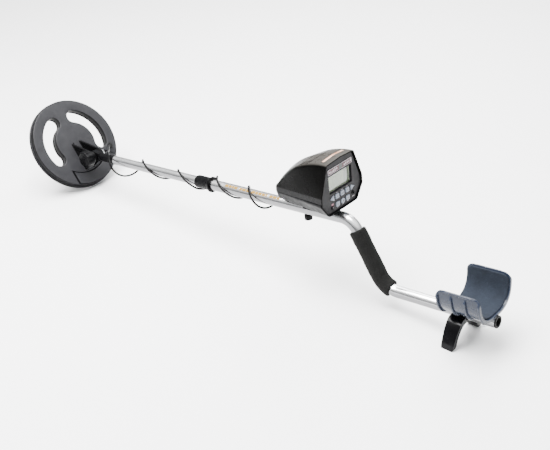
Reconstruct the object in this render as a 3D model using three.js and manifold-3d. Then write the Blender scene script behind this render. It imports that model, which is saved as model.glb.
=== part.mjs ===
// A hobby metal detector: a tilting search coil on a telescopic stem, an S-shaped
// aluminium rod that carries the control box, a foam grip, an arm cuff and a stand.
// Millimetres, +Z up. +X runs from the coil to the arm cuff, +Y to the user's right.

import * as THREE from 'three';
import { mergeVertices } from 'three/addons/utils/BufferGeometryUtils.js';
import Module from 'manifold-3d';

const wasm = await Module();
wasm.setup();

// ---------------------------------------------------------------- driving dimensions

const DEG = Math.PI / 180;
const GAP = 0.3;                       // clearance kept between touching pieces

const COIL_RADIUS = 105;               // lower cover, the widest part of the coil
const COIL_SHELL_RADIUS = 103;
const COIL_THICKNESS = 20.5;
const COIL_PARTING = -13;              // joint between the upper shell and the cover
const COIL_WALL = 2.4;
const COIL_PITCH = 53.93 * DEG;        // slope of the coil face, front edge up
const SLOT_RADIUS = 64;                // middle line of the two curved openings
const SLOT_HALF_WIDTH = 15;
const SLOT_FROM = 70.5 * DEG;
const SLOT_TO = 154.5 * DEG;
const WINDING_HEIGHT = 5;

const EAR_INSIDE = 9.1;                // half the gap between the two ears
const EAR_THICKNESS = 5;
const BOLT_RADIUS = 3.9;
const BOLT_HOLE = 4.3;
const COIL_KNOB_RADIUS = 20;

const STEM_SLOPE = 5.78 * DEG;         // climb of the stem towards the cuff
const STEM_BASE = 74.8;                // height of the stem's axis over the coil centre
const LOWER_TUBE_RADIUS = 9.8;
const ROD_RADIUS = 11.2;
const TUBE_WALL = 1;
const TUBE_SIDES = 20;

const PIVOT_AT = 66.4;                 // distances along the stem axis
const LOWER_TUBE_FROM = 137;
const LOWER_TUBE_TO = 560;
const COLLAR_FROM = 401;
const COLLAR_TO = 444;
const ROD_FROM = 420;
const CLAMP_AT = 690;

const HANDLE_SLOPE = 57.8 * DEG;       // fall of the grip part of the rod
const TAIL_SLOPE = 5.7 * DEG;
const UPPER_BEND = new THREE.Vector2(788.9, 154.6);   // where the straight axes meet
const LOWER_BEND = new THREE.Vector2(863, 36.9);
const UPPER_BEND_RADIUS = 36;
const LOWER_BEND_RADIUS = 44;
const TAIL_TO = 1081.5;                // X of the rod's rear end
const CAP_LENGTH = 4.8;
const GRIP_RADIUS = 15.8;
const GRIP_FROM_BEND = 20.5;           // grip starts this far below the upper bend

const BOX_FROM = 628;                  // X of the control box's nose
const BOX_TO = 768;                    // X of its rear rim, at the height of BOX_LEVEL
const BOX_LEVEL = 215;
const BOX_LEAN = 3.6 * DEG;            // the display leans forward by this much
const BOX_WALL = 2.4;
const BOX_BASE_RISE = 19.4;            // underside of the box over the stem axis

const CUFF_FROM = 1001.5;
const CUFF_TO = 1084;
const CUFF_HALF_WIDTH = 51;
const CUFF_TOP = 66.5;                 // heights over the tail axis
const CUFF_BOTTOM = 11.5;
const CUFF_WALL = 3.2;
const PAD_THICKNESS = 3.6;
const STAND_AT = 1018.5;
const STAND_WIDTH = 27;
const STAND_FOOT = 22;

const CABLE_RADIUS = 2;

// ------------------------------------------------------------------------- materials

function material(color, roughness, metalness = 0) {
  return new THREE.MeshStandardMaterial({ color, roughness, metalness });
}

const looks = {
  coilPlastic: () => material(0x55555b, 0.55),
  blackPlastic: () => material(0x101012, 0.4),
  glossBlack: () => material(0x0b0b0c, 0.2),
  greyPlastic: () => material(0x4c4c52, 0.5),
  aluminium: () => material(0xc9cacb, 0.3, 0.9),
  steel: () => material(0xb5b7ba, 0.35, 0.9),
  brass: () => material(0xb08d4a, 0.35, 0.9),
  copper: () => material(0xa85f32, 0.4, 0.8),
  foam: () => material(0x0c0c0c, 0.95),
  rubber: () => material(0x141414, 0.8),
  navyPlastic: () => material(0x27304a, 0.35),
  pad: () => material(0x20242e, 0.95),
  panel: () => material(0x3a383d, 0.45),
  key: () => material(0xb9bec6, 0.45),
  display: () => material(0xaeb89c, 0.25),
  glass: () => material(0xdfe6dd, 0.1),
  board: () => material(0x1f5a34, 0.5),
  cell: () => material(0x2c3a5e, 0.4),
};

// -------------------------------------------------------------------- solid geometry

// Welds a geometry, drops collapsed triangles and turns its faces outward.
function closedMesh(source) {
  const bare = source.clone();
  bare.deleteAttribute('normal');
  bare.deleteAttribute('uv');
  const welded = mergeVertices(bare, 1e-4);
  const position = welded.attributes.position;
  const index = welded.index.array;
  const corner = [new THREE.Vector3(), new THREE.Vector3(), new THREE.Vector3()];
  const triangles = [];
  let volume = 0;
  for (let i = 0; i < index.length; i += 3) {
    const [a, b, c] = [index[i], index[i + 1], index[i + 2]];
    if (a === b || b === c || c === a) continue;
    triangles.push([a, b, c]);
    corner[0].fromBufferAttribute(position, a);
    corner[1].fromBufferAttribute(position, b);
    corner[2].fromBufferAttribute(position, c);
    volume += corner[0].dot(corner[1].cross(corner[2]));
  }
  if (volume < 0) triangles.forEach((triangle) => triangle.reverse());
  const geometry = new THREE.BufferGeometry();
  geometry.setAttribute('position', position.clone());
  geometry.setIndex(triangles.flat());
  return geometry;
}

function solid(source) {
  if (!source.isBufferGeometry) return source;
  const geometry = closedMesh(source);
  return new wasm.Manifold(new wasm.Mesh({
    numProp: 3,
    vertProperties: new Float32Array(geometry.attributes.position.array),
    triVerts: new Uint32Array(geometry.index.array),
  }));
}

function join(first, ...others) {
  return others.reduce((sum, other) => sum.add(solid(other)), solid(first));
}

function cut(first, ...others) {
  return others.reduce((rest, other) => rest.subtract(solid(other)), solid(first));
}

function common(first, second) {
  return solid(first).intersect(solid(second));
}

function toGeometry(source) {
  if (source.isBufferGeometry) return closedMesh(source);
  const mesh = source.getMesh();
  const geometry = new THREE.BufferGeometry();
  geometry.setAttribute('position', new THREE.BufferAttribute(mesh.vertProperties, 3));
  geometry.setIndex(new THREE.BufferAttribute(mesh.triVerts, 1));
  return geometry;
}

function add(parent, name, shape, look) {
  const geometry = toGeometry(shape);
  geometry.computeVertexNormals();
  const mesh = new THREE.Mesh(geometry, look());
  mesh.name = name;
  parent.add(mesh);
  return mesh;
}

function block(x0, x1, y0, y1, z0, z1) {
  const geometry = new THREE.BoxGeometry(x1 - x0, y1 - y0, z1 - z0);
  return geometry.translate((x0 + x1) / 2, (y0 + y1) / 2, (z0 + z1) / 2);
}

// A profile of [along, radius] pairs turned about X, Y or Z.
function turned(profile, axis = 'x', sides = 24) {
  const points = profile.map(([along, radius]) => new THREE.Vector2(radius, along));
  const geometry = new THREE.LatheGeometry(points, sides);
  if (axis === 'x') geometry.rotateZ(-Math.PI / 2);
  if (axis === 'z') geometry.rotateX(Math.PI / 2);
  return geometry;
}

function rodOf(radius, from, to, axis = 'x', sides = 24) {
  return turned([[from, 0], [from, radius], [to, radius], [to, 0]], axis, sides);
}

function tubeOf(inner, outer, from, to, axis = 'x', sides = 24) {
  const profile = [[from, inner], [from, outer], [to, outer], [to, inner], [from, inner]];
  return turned(profile, axis, sides);
}

function polygon(points) {
  return new THREE.Shape(points.map(([x, y]) => new THREE.Vector2(x, y)));
}

function circlePoints(radius, sides) {
  const points = [];
  for (let i = 0; i < sides; i += 1) {
    const angle = (i / sides) * 2 * Math.PI;
    points.push([radius * Math.cos(angle), radius * Math.sin(angle)]);
  }
  return points;
}

function arcPoints(x, y, radius, from, to, steps) {
  const points = [];
  for (let i = 0; i <= steps; i += 1) {
    const angle = from + ((to - from) * i) / steps;
    points.push([x + radius * Math.cos(angle), y + radius * Math.sin(angle)]);
  }
  return points;
}

function roundedRectangle(width, height, radius, steps = 3) {
  const x = width / 2 - radius;
  const y = height / 2 - radius;
  return [
    ...arcPoints(x, y, radius, 0, 90 * DEG, steps),
    ...arcPoints(-x, y, radius, 90 * DEG, 180 * DEG, steps),
    ...arcPoints(-x, -y, radius, 180 * DEG, 270 * DEG, steps),
    ...arcPoints(x, -y, radius, 270 * DEG, 360 * DEG, steps),
  ];
}

// Extrudes an outline drawn in XY along Z, from one height to another.
function plate(points, from, to) {
  const options = { depth: to - from, bevelEnabled: false };
  return new THREE.ExtrudeGeometry(polygon(points), options).translate(0, 0, from);
}

// Extrudes an outline drawn in XZ along Y.
function wallY(points, from, to) {
  return plate(points, -to, -from).rotateX(Math.PI / 2);
}

// Extrudes an outline drawn in YZ along X.
function wallX(points, from, to) {
  return plate(points, from, to).rotateX(Math.PI / 2).rotateZ(Math.PI / 2);
}

// A path through given points, with one extrusion step between each two.
class StationPath extends THREE.Curve {
  constructor(stations) {
    super();
    this.stations = stations;
  }

  getPoint(t, target = new THREE.Vector3()) {
    const last = this.stations.length - 1;
    const place = t * last;
    const index = Math.min(Math.floor(place), last - 1);
    return target.lerpVectors(this.stations[index], this.stations[index + 1], place - index);
  }

  getUtoTmapping(u) {
    return u;
  }
}

function sweep(stations, outer, inner = 0, sides = TUBE_SIDES) {
  const section = polygon(circlePoints(outer, sides));
  if (inner > 0) section.holes.push(polygon(circlePoints(inner, sides)));
  return new THREE.ExtrudeGeometry(section, {
    steps: stations.length - 1,
    extrudePath: new StationPath(stations),
    bevelEnabled: false,
  });
}

// ------------------------------------------------------------------ reference frames

const detector = new THREE.Group();
detector.name = 'metal_detector';

function frame(x, y, z, pitch) {
  const group = new THREE.Group();
  group.position.set(x, y, z);
  group.rotation.y = pitch;
  detector.add(group);
  return group;
}

const coilHeight = COIL_RADIUS * Math.sin(COIL_PITCH) + COIL_THICKNESS * Math.cos(COIL_PITCH);
const coilFrame = frame(0, 0, coilHeight, COIL_PITCH);
const stemFrame = frame(0, 0, STEM_BASE, -STEM_SLOPE);

function stemHeight(x) {
  return STEM_BASE + Math.tan(STEM_SLOPE) * x;
}

// The tilt pivot as seen from the coil: behind its centre, and above its face.
const pivotX = PIVOT_AT * Math.cos(STEM_SLOPE);
const pivotZ = STEM_BASE + PIVOT_AT * Math.sin(STEM_SLOPE) - coilHeight;
const PIVOT_BACK = pivotX * Math.cos(COIL_PITCH) - pivotZ * Math.sin(COIL_PITCH);
const PIVOT_RISE = pivotX * Math.sin(COIL_PITCH) + pivotZ * Math.cos(COIL_PITCH);

function tailHeight(x) {
  return LOWER_BEND.y + Math.tan(TAIL_SLOPE) * (x - LOWER_BEND.x);
}

// ---------------------------------------------------------------------- search coil

// The outline of one curved opening, grown by a margin, on the side of Y given by side.
function slotOutline(side, margin = 0) {
  const half = SLOT_HALF_WIDTH + margin;
  const endX = SLOT_RADIUS * Math.cos(SLOT_TO);
  const endY = SLOT_RADIUS * Math.sin(SLOT_TO);
  const startX = SLOT_RADIUS * Math.cos(SLOT_FROM);
  const startY = SLOT_RADIUS * Math.sin(SLOT_FROM);
  const points = [
    ...arcPoints(0, 0, SLOT_RADIUS + half, SLOT_FROM, SLOT_TO, 12),
    ...arcPoints(endX, endY, half, SLOT_TO + 30 * DEG, SLOT_TO + 150 * DEG, 4),
    ...arcPoints(0, 0, SLOT_RADIUS - half, SLOT_TO, SLOT_FROM, 8),
    ...arcPoints(startX, startY, half, SLOT_FROM + 210 * DEG, SLOT_FROM + 330 * DEG, 4),
  ];
  return points.map(([x, y]) => [x, side * y]);
}

function bothSlots(margin, from, to) {
  return join(plate(slotOutline(1, margin), from, to), plate(slotOutline(-1, margin), from, to));
}

const SECTOR_INSIDE = 75;
const SECTOR_OUTSIDE = 100.5;
const SECTOR_TO = 50 * DEG;

function sectorOutline(margin) {
  const inside = SECTOR_INSIDE - margin;
  const outside = SECTOR_OUTSIDE + Math.min(margin, 0.4);
  const edge = -45 - margin;
  return [
    ...arcPoints(0, 0, outside, Math.asin(edge / outside), SECTOR_TO + margin / inside, 12),
    ...arcPoints(0, 0, inside, SECTOR_TO + margin / inside, Math.asin(edge / inside), 10),
  ];
}

const GLAND_X = 40;
const GLAND_Y = 76;

function earOutline() {
  return [
    [2, -1],
    [0, 0],
    ...arcPoints(PIVOT_BACK, PIVOT_RISE, 13, 138 * DEG, -20 * DEG, 8),
    [PIVOT_BACK + 16, 0],
    [PIVOT_BACK + 15, -1],
  ];
}

function coilUpperShell() {
  const rim = COIL_SHELL_RADIUS;
  const disc = turned(
    [[COIL_PARTING, 0], [COIL_PARTING, rim], [-2.5, rim], [-0.7, rim - 0.7], [0, rim - 2.5], [0, 0]],
    'z',
    48,
  );
  const hollow = cut(
    rodOf(rim - COIL_WALL, COIL_PARTING - 1, -COIL_WALL, 'z', 48),
    bothSlots(COIL_WALL, COIL_PARTING - 2, 1),
  );
  let shell = cut(disc, hollow, bothSlots(0, COIL_PARTING - 2, 1));
  shell = cut(shell, plate(sectorOutline(1.2), -1.2, 3));
  shell = join(shell, plate(sectorOutline(0), -1.6, 2.2));
  const ears = [];
  for (const side of [-1, 1]) {
    const inside = side > 0 ? EAR_INSIDE : -EAR_INSIDE - EAR_THICKNESS;
    ears.push(wallY(earOutline(), inside, inside + EAR_THICKNESS));
  }
  shell = join(shell, ...ears);
  const bore = rodOf(BOLT_HOLE, -30, 30, 'y', 16).translate(PIVOT_BACK, 0, PIVOT_RISE);
  const glandHole = rodOf(4, -5, 5, 'z', 12).translate(GLAND_X, GLAND_Y, 0);
  return cut(shell, bore, glandHole);
}

function coilLowerCover() {
  const rim = COIL_RADIUS;
  const top = COIL_PARTING - GAP;
  const disc = turned(
    [[-COIL_THICKNESS, 0], [-COIL_THICKNESS, rim], [top - 1.2, rim], [top, rim - 1], [top, 0]],
    'z',
    48,
  );
  const hollow = cut(
    rodOf(rim - 4.4, -COIL_THICKNESS + COIL_WALL, 1, 'z', 48),
    bothSlots(COIL_WALL, -COIL_THICKNESS, 2),
  );
  return cut(disc, hollow, bothSlots(0, -COIL_THICKNESS - 1, 1));
}

function winding(inner, outer) {
  const from = -COIL_THICKNESS + COIL_WALL + GAP;
  const to = from + WINDING_HEIGHT;
  return turned(
    [
      [from, inner + 1], [from, outer - 1], [from + 1, outer], [to - 1, outer],
      [to, outer - 1], [to, inner + 1], [to - 1, inner], [from + 1, inner], [from, inner + 1],
    ],
    'z',
    28,
  );
}

const GLAND_LENGTH = 13;
const GLAND_TILT = 39 * DEG;

// A collar standing on the coil with a tapered spout that leans toward the stem.
function coilGland() {
  const seat = turned([[-4, 0], [-4, 3.6], [GAP, 3.6], [GAP, 6.5], [2.2, 6.5], [3.4, 4.6], [3.4, 0]],
    'z', 16);
  const spout = turned([[0, 0], [0, 4.4], [GLAND_LENGTH, CABLE_RADIUS + 0.9], [GLAND_LENGTH, 0]],
    'z', 16).rotateX(GLAND_TILT).translate(0, 0, 1.5);
  const face = block(-20, 20, -20, 20, -20, GAP);
  return join(seat, cut(spout, face));
}

function buildCoil() {
  add(coilFrame, 'coil_upper_shell', coilUpperShell(), looks.coilPlastic);
  add(coilFrame, 'coil_lower_cover', coilLowerCover(), looks.coilPlastic);
  add(coilFrame, 'transmit_winding', winding(94, 99), looks.copper);
  add(coilFrame, 'receive_winding', winding(38, 42), looks.copper);
  add(coilFrame, 'coil_cable_gland', coilGland(), looks.rubber)
    .position.set(GLAND_X, GLAND_Y, 0);
}

// ----------------------------------------------------------------------- tilt clamp

const CLAMP_SIDE = EAR_INSIDE + EAR_THICKNESS + GAP;   // outer face of an ear

function knobOutline(radius, lobes, depth) {
  const points = [];
  for (let i = 0; i < lobes * 4; i += 1) {
    const angle = (i / (lobes * 4)) * 2 * Math.PI;
    const reach = radius - depth * (0.5 - 0.5 * Math.cos(angle * lobes));
    points.push([reach * Math.cos(angle), reach * Math.sin(angle)]);
  }
  return points;
}

function buildTiltClamp() {
  const pivot = new THREE.Group();
  pivot.position.set(PIVOT_BACK, 0, PIVOT_RISE);
  coilFrame.add(pivot);

  const head = rodOf(7.5, CLAMP_SIDE + 1.6 + GAP, CLAMP_SIDE + 7, 'y', 6);
  const shank = rodOf(BOLT_RADIUS, -CLAMP_SIDE - 13, CLAMP_SIDE + 3, 'y', 16);
  add(pivot, 'pivot_bolt', join(head, shank), looks.steel);
  add(pivot, 'pivot_head_washer', tubeOf(BOLT_HOLE, 9, CLAMP_SIDE, CLAMP_SIDE + 1.6, 'y', 20),
    looks.steel);
  for (const [name, side] of [['pivot_rubber_left', -1], ['pivot_rubber_right', 1]]) {
    const from = side > 0 ? 6.8 : -8.8;
    add(pivot, name, tubeOf(BOLT_HOLE, 11, from, from + 2, 'y', 20), looks.rubber);
  }
  const grip = wallY(knobOutline(COIL_KNOB_RADIUS, 8, 1.6), -CLAMP_SIDE - 19.5, -CLAMP_SIDE - 3.5);
  const hub = rodOf(10, -CLAMP_SIDE - 4, -CLAMP_SIDE, 'y', 20);
  const socket = rodOf(BOLT_HOLE, -CLAMP_SIDE - 14, 0, 'y', 16);
  add(pivot, 'coil_knob', cut(join(grip, hub), socket), looks.blackPlastic);
}

// ------------------------------------------------------------------------ lower stem

function lowerRodEnd() {
  const tang = wallY(
    [
      ...arcPoints(PIVOT_AT, 0, 12, 90 * DEG, 270 * DEG, 8),
      [PIVOT_AT + 22, -9], [PIVOT_AT + 22, 9],
    ],
    -6.5,
    6.5,
  );
  const rod = turned([
    [PIVOT_AT + 15, 0], [PIVOT_AT + 15, 5], [PIVOT_AT + 24, 9.6], [LOWER_TUBE_FROM - GAP, 9.8],
    [LOWER_TUBE_FROM - GAP, 8.4], [LOWER_TUBE_FROM + 28, 8.4], [LOWER_TUBE_FROM + 28, 0],
  ], 'x', TUBE_SIDES);
  const bore = rodOf(BOLT_HOLE, -20, 20, 'y', 16).translate(PIVOT_AT, 0, 0);
  return cut(join(tang, rod), bore);
}

function buildLowerStem() {
  const inner = LOWER_TUBE_RADIUS - TUBE_WALL;
  add(stemFrame, 'lower_rod_end', lowerRodEnd(), looks.blackPlastic);
  add(stemFrame, 'lower_tube',
    tubeOf(inner, LOWER_TUBE_RADIUS, LOWER_TUBE_FROM, LOWER_TUBE_TO, 'x', TUBE_SIDES),
    looks.aluminium);
  const plug = turned([
    [LOWER_TUBE_TO - 16, 0], [LOWER_TUBE_TO - 16, inner - GAP], [LOWER_TUBE_TO + GAP, inner - GAP],
    [LOWER_TUBE_TO + GAP, LOWER_TUBE_RADIUS], [LOWER_TUBE_TO + 4, LOWER_TUBE_RADIUS],
    [LOWER_TUBE_TO + 4, 0],
  ], 'x', TUBE_SIDES);
  add(stemFrame, 'lower_tube_plug', plug, looks.blackPlastic);
}

// --------------------------------------------------------------------- twist lock

function buildTwistLock() {
  const bore = LOWER_TUBE_RADIUS + GAP;
  const seat = ROD_RADIUS + GAP;
  const outer = 11.9;
  const collet = tubeOf(bore, outer, COLLAR_FROM + 3.5, ROD_FROM - GAP);
  const split = block(COLLAR_FROM, COLLAR_FROM + 14, -0.6, 0.6, 0, 20);
  add(stemFrame, 'lock_collet', cut(collet, split), looks.blackPlastic);
  const collar = turned([
    [COLLAR_FROM, bore], [COLLAR_FROM, 12], [COLLAR_FROM + 1, 13], [COLLAR_TO - 9, 13],
    [COLLAR_TO - 4.5, 16], [COLLAR_TO, 16], [COLLAR_TO, seat], [ROD_FROM + 1, seat],
    [ROD_FROM + 1, outer + GAP], [COLLAR_FROM + 3, outer + GAP], [COLLAR_FROM + 3, bore],
    [COLLAR_FROM, bore],
  ]);
  add(stemFrame, 'lock_collar', collar, looks.blackPlastic);
}

// ----------------------------------------------------------------------- S-shaped rod

// The arc that rounds the corner between two directions, both pointing along the path.
function bend(corner, slopeIn, slopeOut, radius, steps) {
  const turn = slopeOut - slopeIn;
  const reach = radius * Math.tan(Math.abs(turn) / 2);
  const side = Math.sign(turn);
  const startX = corner.x - reach * Math.cos(slopeIn);
  const startZ = corner.y - reach * Math.sin(slopeIn);
  const centreX = startX - side * radius * Math.sin(slopeIn);
  const centreZ = startZ + side * radius * Math.cos(slopeIn);
  const points = [];
  for (let i = 0; i <= steps; i += 1) {
    const angle = slopeIn + (turn * i) / steps;
    points.push(new THREE.Vector3(
      centreX + side * radius * Math.sin(angle),
      0,
      centreZ - side * radius * Math.cos(angle),
    ));
  }
  return points;
}

const upperBend = bend(UPPER_BEND, STEM_SLOPE, -HANDLE_SLOPE, UPPER_BEND_RADIUS, 8);
const lowerBend = bend(LOWER_BEND, -HANDLE_SLOPE, TAIL_SLOPE, LOWER_BEND_RADIUS, 9);

function sRod() {
  const startX = ROD_FROM * Math.cos(STEM_SLOPE);
  const stations = [
    new THREE.Vector3(startX, 0, stemHeight(startX)),
    ...upperBend,
    ...lowerBend,
    new THREE.Vector3(TAIL_TO, 0, tailHeight(TAIL_TO)),
  ];
  const tube = sweep(stations, ROD_RADIUS, ROD_RADIUS - TUBE_WALL);
  const clampHole = rodOf(3.4, -20, 20, 'z', 12).rotateY(-STEM_SLOPE)
    .translate(CLAMP_AT * Math.cos(STEM_SLOPE), 0, stemHeight(CLAMP_AT * Math.cos(STEM_SLOPE)));
  const boltHoles = cuffBoltPlaces.map((x) => rodOf(2.9, -20, 20, 'z', 12)
    .rotateY(-TAIL_SLOPE).translate(x, 0, tailHeight(x)));
  return cut(tube, clampHole, ...boltHoles);
}

function gripFoam() {
  const startX = UPPER_BEND.x + GRIP_FROM_BEND * Math.cos(HANDLE_SLOPE);
  const startZ = UPPER_BEND.y - GRIP_FROM_BEND * Math.sin(HANDLE_SLOPE);
  const end = lowerBend[6].clone().lerp(lowerBend[7], 0.5);
  const stations = [new THREE.Vector3(startX, 0, startZ), ...lowerBend.slice(0, 7), end];
  return sweep(stations, GRIP_RADIUS, ROD_RADIUS + GAP);
}

function endCap() {
  const x = GAP;
  return turned([
    [-16, 0], [-16, 9.8], [x, 9.8], [x, ROD_RADIUS], [x + CAP_LENGTH - 0.8, ROD_RADIUS],
    [x + CAP_LENGTH, 10.4], [x + CAP_LENGTH, 7.6], [x - 5, 7.2], [x - 5, 0],
  ]);
}

const cuffBoltPlaces = [STAND_AT, STAND_AT + 42];

function buildRod() {
  add(detector, 's_rod', sRod(), looks.aluminium);
  add(detector, 'grip_foam', gripFoam(), looks.foam);
  const cap = add(detector, 'end_cap', endCap(), looks.rubber);
  cap.position.set(TAIL_TO, 0, tailHeight(TAIL_TO));
  cap.rotation.y = -TAIL_SLOPE;
}

// ---------------------------------------------------------------- arm cuff and stand

const tailFrame = frame(STAND_AT, 0, tailHeight(STAND_AT), -TAIL_SLOPE);
const CUFF_POWER = 2.9;

// Half of the cuff's U section at one offset inward from the outer skin, bottom to top.
function cuffSide(inset, top) {
  const width = CUFF_HALF_WIDTH - inset;
  const depth = CUFF_TOP - CUFF_BOTTOM - inset;
  const points = [];
  const steps = 12;
  for (let i = 0; i <= steps; i += 1) {
    const angle = (i / steps) * 90 * DEG;
    const y = width * Math.sin(angle) ** (2 / CUFF_POWER);
    const z = CUFF_TOP - depth * Math.cos(angle) ** (2 / CUFF_POWER);
    points.push([y, Math.min(z, top)]);
  }
  return points;
}

function uOutline(outset, inset, top) {
  const outer = cuffSide(outset, top);
  const inner = cuffSide(inset, top);
  const mirror = (points) => points.slice(1).map(([y, z]) => [-y, z]).reverse();
  return [...mirror(outer), ...outer, ...inner.slice(1).reverse(), inner[0], ...mirror(inner).reverse()];
}

function armCuff() {
  const from = CUFF_FROM - STAND_AT;
  const to = CUFF_TO - STAND_AT;
  let shell = wallX(uOutline(0, CUFF_WALL, CUFF_TOP), from, to);
  const ribs = [];
  for (let i = 0; i < 4; i += 1) {
    const x = from + ((to - from - 3) * i) / 3;
    ribs.push(wallX(uOutline(-3.2, 1, CUFF_TOP - 3), x, x + 3));
  }
  const side = [
    [from, 8], [to, 8],
    ...arcPoints(to - 12, CUFF_TOP - 12, 12, 0, 90 * DEG, 4),
    ...arcPoints(from + 12, CUFF_TOP - 12, 12, 90 * DEG, 180 * DEG, 4),
  ];
  shell = common(join(shell, ...ribs), wallY(side, -70, 70));
  const rodClearance = rodOf(ROD_RADIUS + GAP, from - 5, to + 5, 'x', 32);
  return cut(shell, rodClearance, ...cuffBoltHoles(3));
}

function cuffBoltHoles(radius) {
  return cuffBoltPlaces.map((x) => rodOf(radius, -40, 40, 'z', 12).translate(x - STAND_AT, 0, 0));
}

function cuffPad() {
  const inset = CUFF_WALL + GAP;
  const from = CUFF_FROM - STAND_AT + 3;
  const to = CUFF_TO - STAND_AT - 3;
  const shape = wallX(uOutline(inset, inset + PAD_THICKNESS, CUFF_TOP - 3), from, to);
  const side = [
    [from, 8], [to, 8],
    ...arcPoints(to - 10, CUFF_TOP - 13, 10, 0, 90 * DEG, 4),
    ...arcPoints(from + 10, CUFF_TOP - 13, 10, 90 * DEG, 180 * DEG, 4),
  ];
  return cut(common(shape, wallY(side, -70, 70)), ...cuffBoltHoles(5.6));
}

function standOutline() {
  const half = [
    [14, 50], [19.5, 48], [24, 45], [29.5, 39.5], [34, 33], [38, 26], [41, 20], [45, 10], [48, 0],
    [41, 0], [38, 1.2], [36, 4], [34.5, 8.5], [31, 18], [28.6, 23.2], [25.5, 28], [22.5, 31.5],
    [18, 35.5], [10, 38],
  ];
  const mirrored = half.map(([y, z]) => [-y, z]).reverse();
  return [...half, ...mirrored];
}

// The stand seen from the side: wider at the rod, with its foot corners eased.
function standSide() {
  const top = STAND_WIDTH / 2;
  const foot = STAND_FOOT / 2;
  const half = [[top, 60], [top, 46], [foot + 0.4, 8], [foot - 0.4, 2], [foot - 2.4, 0]];
  const rear = half.map(([x, z], i) => [i < 2 ? x : x + 2, z]);
  const front = half.map(([x, z]) => [-x, z]).reverse();
  return moved([...rear, ...front], STAND_AT, 0);
}

function buildCuff() {
  add(tailFrame, 'arm_cuff', armCuff(), looks.navyPlastic);
  add(tailFrame, 'cuff_pad', cuffPad(), looks.pad);
  const groove = rodOf(ROD_RADIUS + GAP, -40, 40, 'x', 32).rotateY(-TAIL_SLOPE)
    .translate(STAND_AT, 0, tailHeight(STAND_AT));
  const boltHole = rodOf(3, -60, 60, 'z', 12).rotateY(-TAIL_SLOPE)
    .translate(STAND_AT, 0, tailHeight(STAND_AT));
  const arch = common(
    wallX(standOutline(), STAND_AT - 20, STAND_AT + 20),
    wallY(standSide(), -60, 60),
  );
  add(detector, 'stand', cut(arch, groove, boltHole), looks.glossBlack);

  const floor = CUFF_BOTTOM + CUFF_WALL + GAP;
  const lengths = [[-21, floor + 2.4], [-17, floor + 2.4]];
  cuffBoltPlaces.forEach((x, i) => {
    const place = x - STAND_AT;
    const [end, top] = lengths[i];
    const bolt = join(rodOf(5, floor, top, 'z', 16), rodOf(2.5, end, floor + 1, 'z', 12));
    const name = ['front', 'rear'][i];
    add(tailFrame, `cuff_bolt_${name}`, bolt.translate([place, 0, 0]), looks.steel);
    const nutFrom = end + 2;
    const nut = tubeOf(3.3, 5, nutFrom, nutFrom + 3.4, 'z', 6).translate(place, 0, 0);
    add(tailFrame, `cuff_nut_${name}`, nut, looks.steel);
  });
}

// ----------------------------------------------------------------------- control box

function lerp(a, b, t) {
  return a + (b - a) * t;
}

// The corners of the box's cross-section at one X, grown inward by inset.
function boxSection(x, inset) {
  const at = Math.max(x - inset, BOX_FROM);
  const along = Math.min((at - BOX_FROM) / (BOX_TO - BOX_FROM), 1);
  const nose = Math.min(Math.max((at - BOX_FROM) / 12, 0), 1);
  const pinch = 0.55 + 0.45 * Math.sqrt(1 - (1 - nose) ** 2);
  const wide = lerp(25.5, 60, along) * pinch - inset;
  const base = lerp(17.5, 41, along ** 0.85) * pinch - inset;
  const topHalf = Math.min(39 - inset, wide - 1.5 - 4 * (1 - along));
  const crest = 186 + 87 * (1 - (1 - along) ** 2) ** 0.8 - inset;
  const bandTop = 188 + 0.214 * (x - 641);
  const bandLow = bandTop - lerp(10, 17, along);
  const floorShift = (BOX_LEVEL - 172) * Math.tan(BOX_LEAN) * along;
  const floor = stemHeight(x + floorShift) + BOX_BASE_RISE + inset;
  const shoulder = Math.max(crest - lerp(9, 2.5, along), bandTop + 1.5);
  return [
    { y: 0, z: Math.max(crest, shoulder + 1.5), r: 0 },
    { y: topHalf, z: shoulder, r: lerp(12, 4, along) * Math.min(1, nose + 0.2) },
    { y: wide, z: Math.min(bandTop, shoulder - 1), r: 2.5 },
    { y: wide, z: bandLow, r: 2.5 },
    { y: base, z: floor, r: 4 },
    { y: -base, z: floor, r: 4 },
    { y: -wide, z: bandLow, r: 2.5 },
    { y: -wide, z: Math.min(bandTop, shoulder - 1), r: 2.5 },
    { y: -topHalf, z: shoulder, r: lerp(12, 4, along) * Math.min(1, nose + 0.2) },
  ];
}

// Rounds each corner with a short curve, so every section has the same point count.
function roundedRing(corners, steps = 3) {
  const ring = [];
  corners.forEach((corner, i) => {
    if (corner.r === 0) {
      ring.push([corner.y, corner.z]);
      return;
    }
    const before = corners[(i + corners.length - 1) % corners.length];
    const after = corners[(i + 1) % corners.length];
    const reach = (other) => {
      const length = Math.hypot(other.y - corner.y, other.z - corner.z);
      return Math.min(corner.r, length * 0.45) / length;
    };
    const [a, b] = [reach(before), reach(after)];
    for (let k = 0; k <= steps; k += 1) {
      const t = k / steps;
      const pull = (1 - t) ** 2 * a;
      const push = t ** 2 * b;
      ring.push([
        corner.y + pull * (before.y - corner.y) + push * (after.y - corner.y),
        corner.z + pull * (before.z - corner.z) + push * (after.z - corner.z),
      ]);
    }
  });
  return ring;
}

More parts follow.
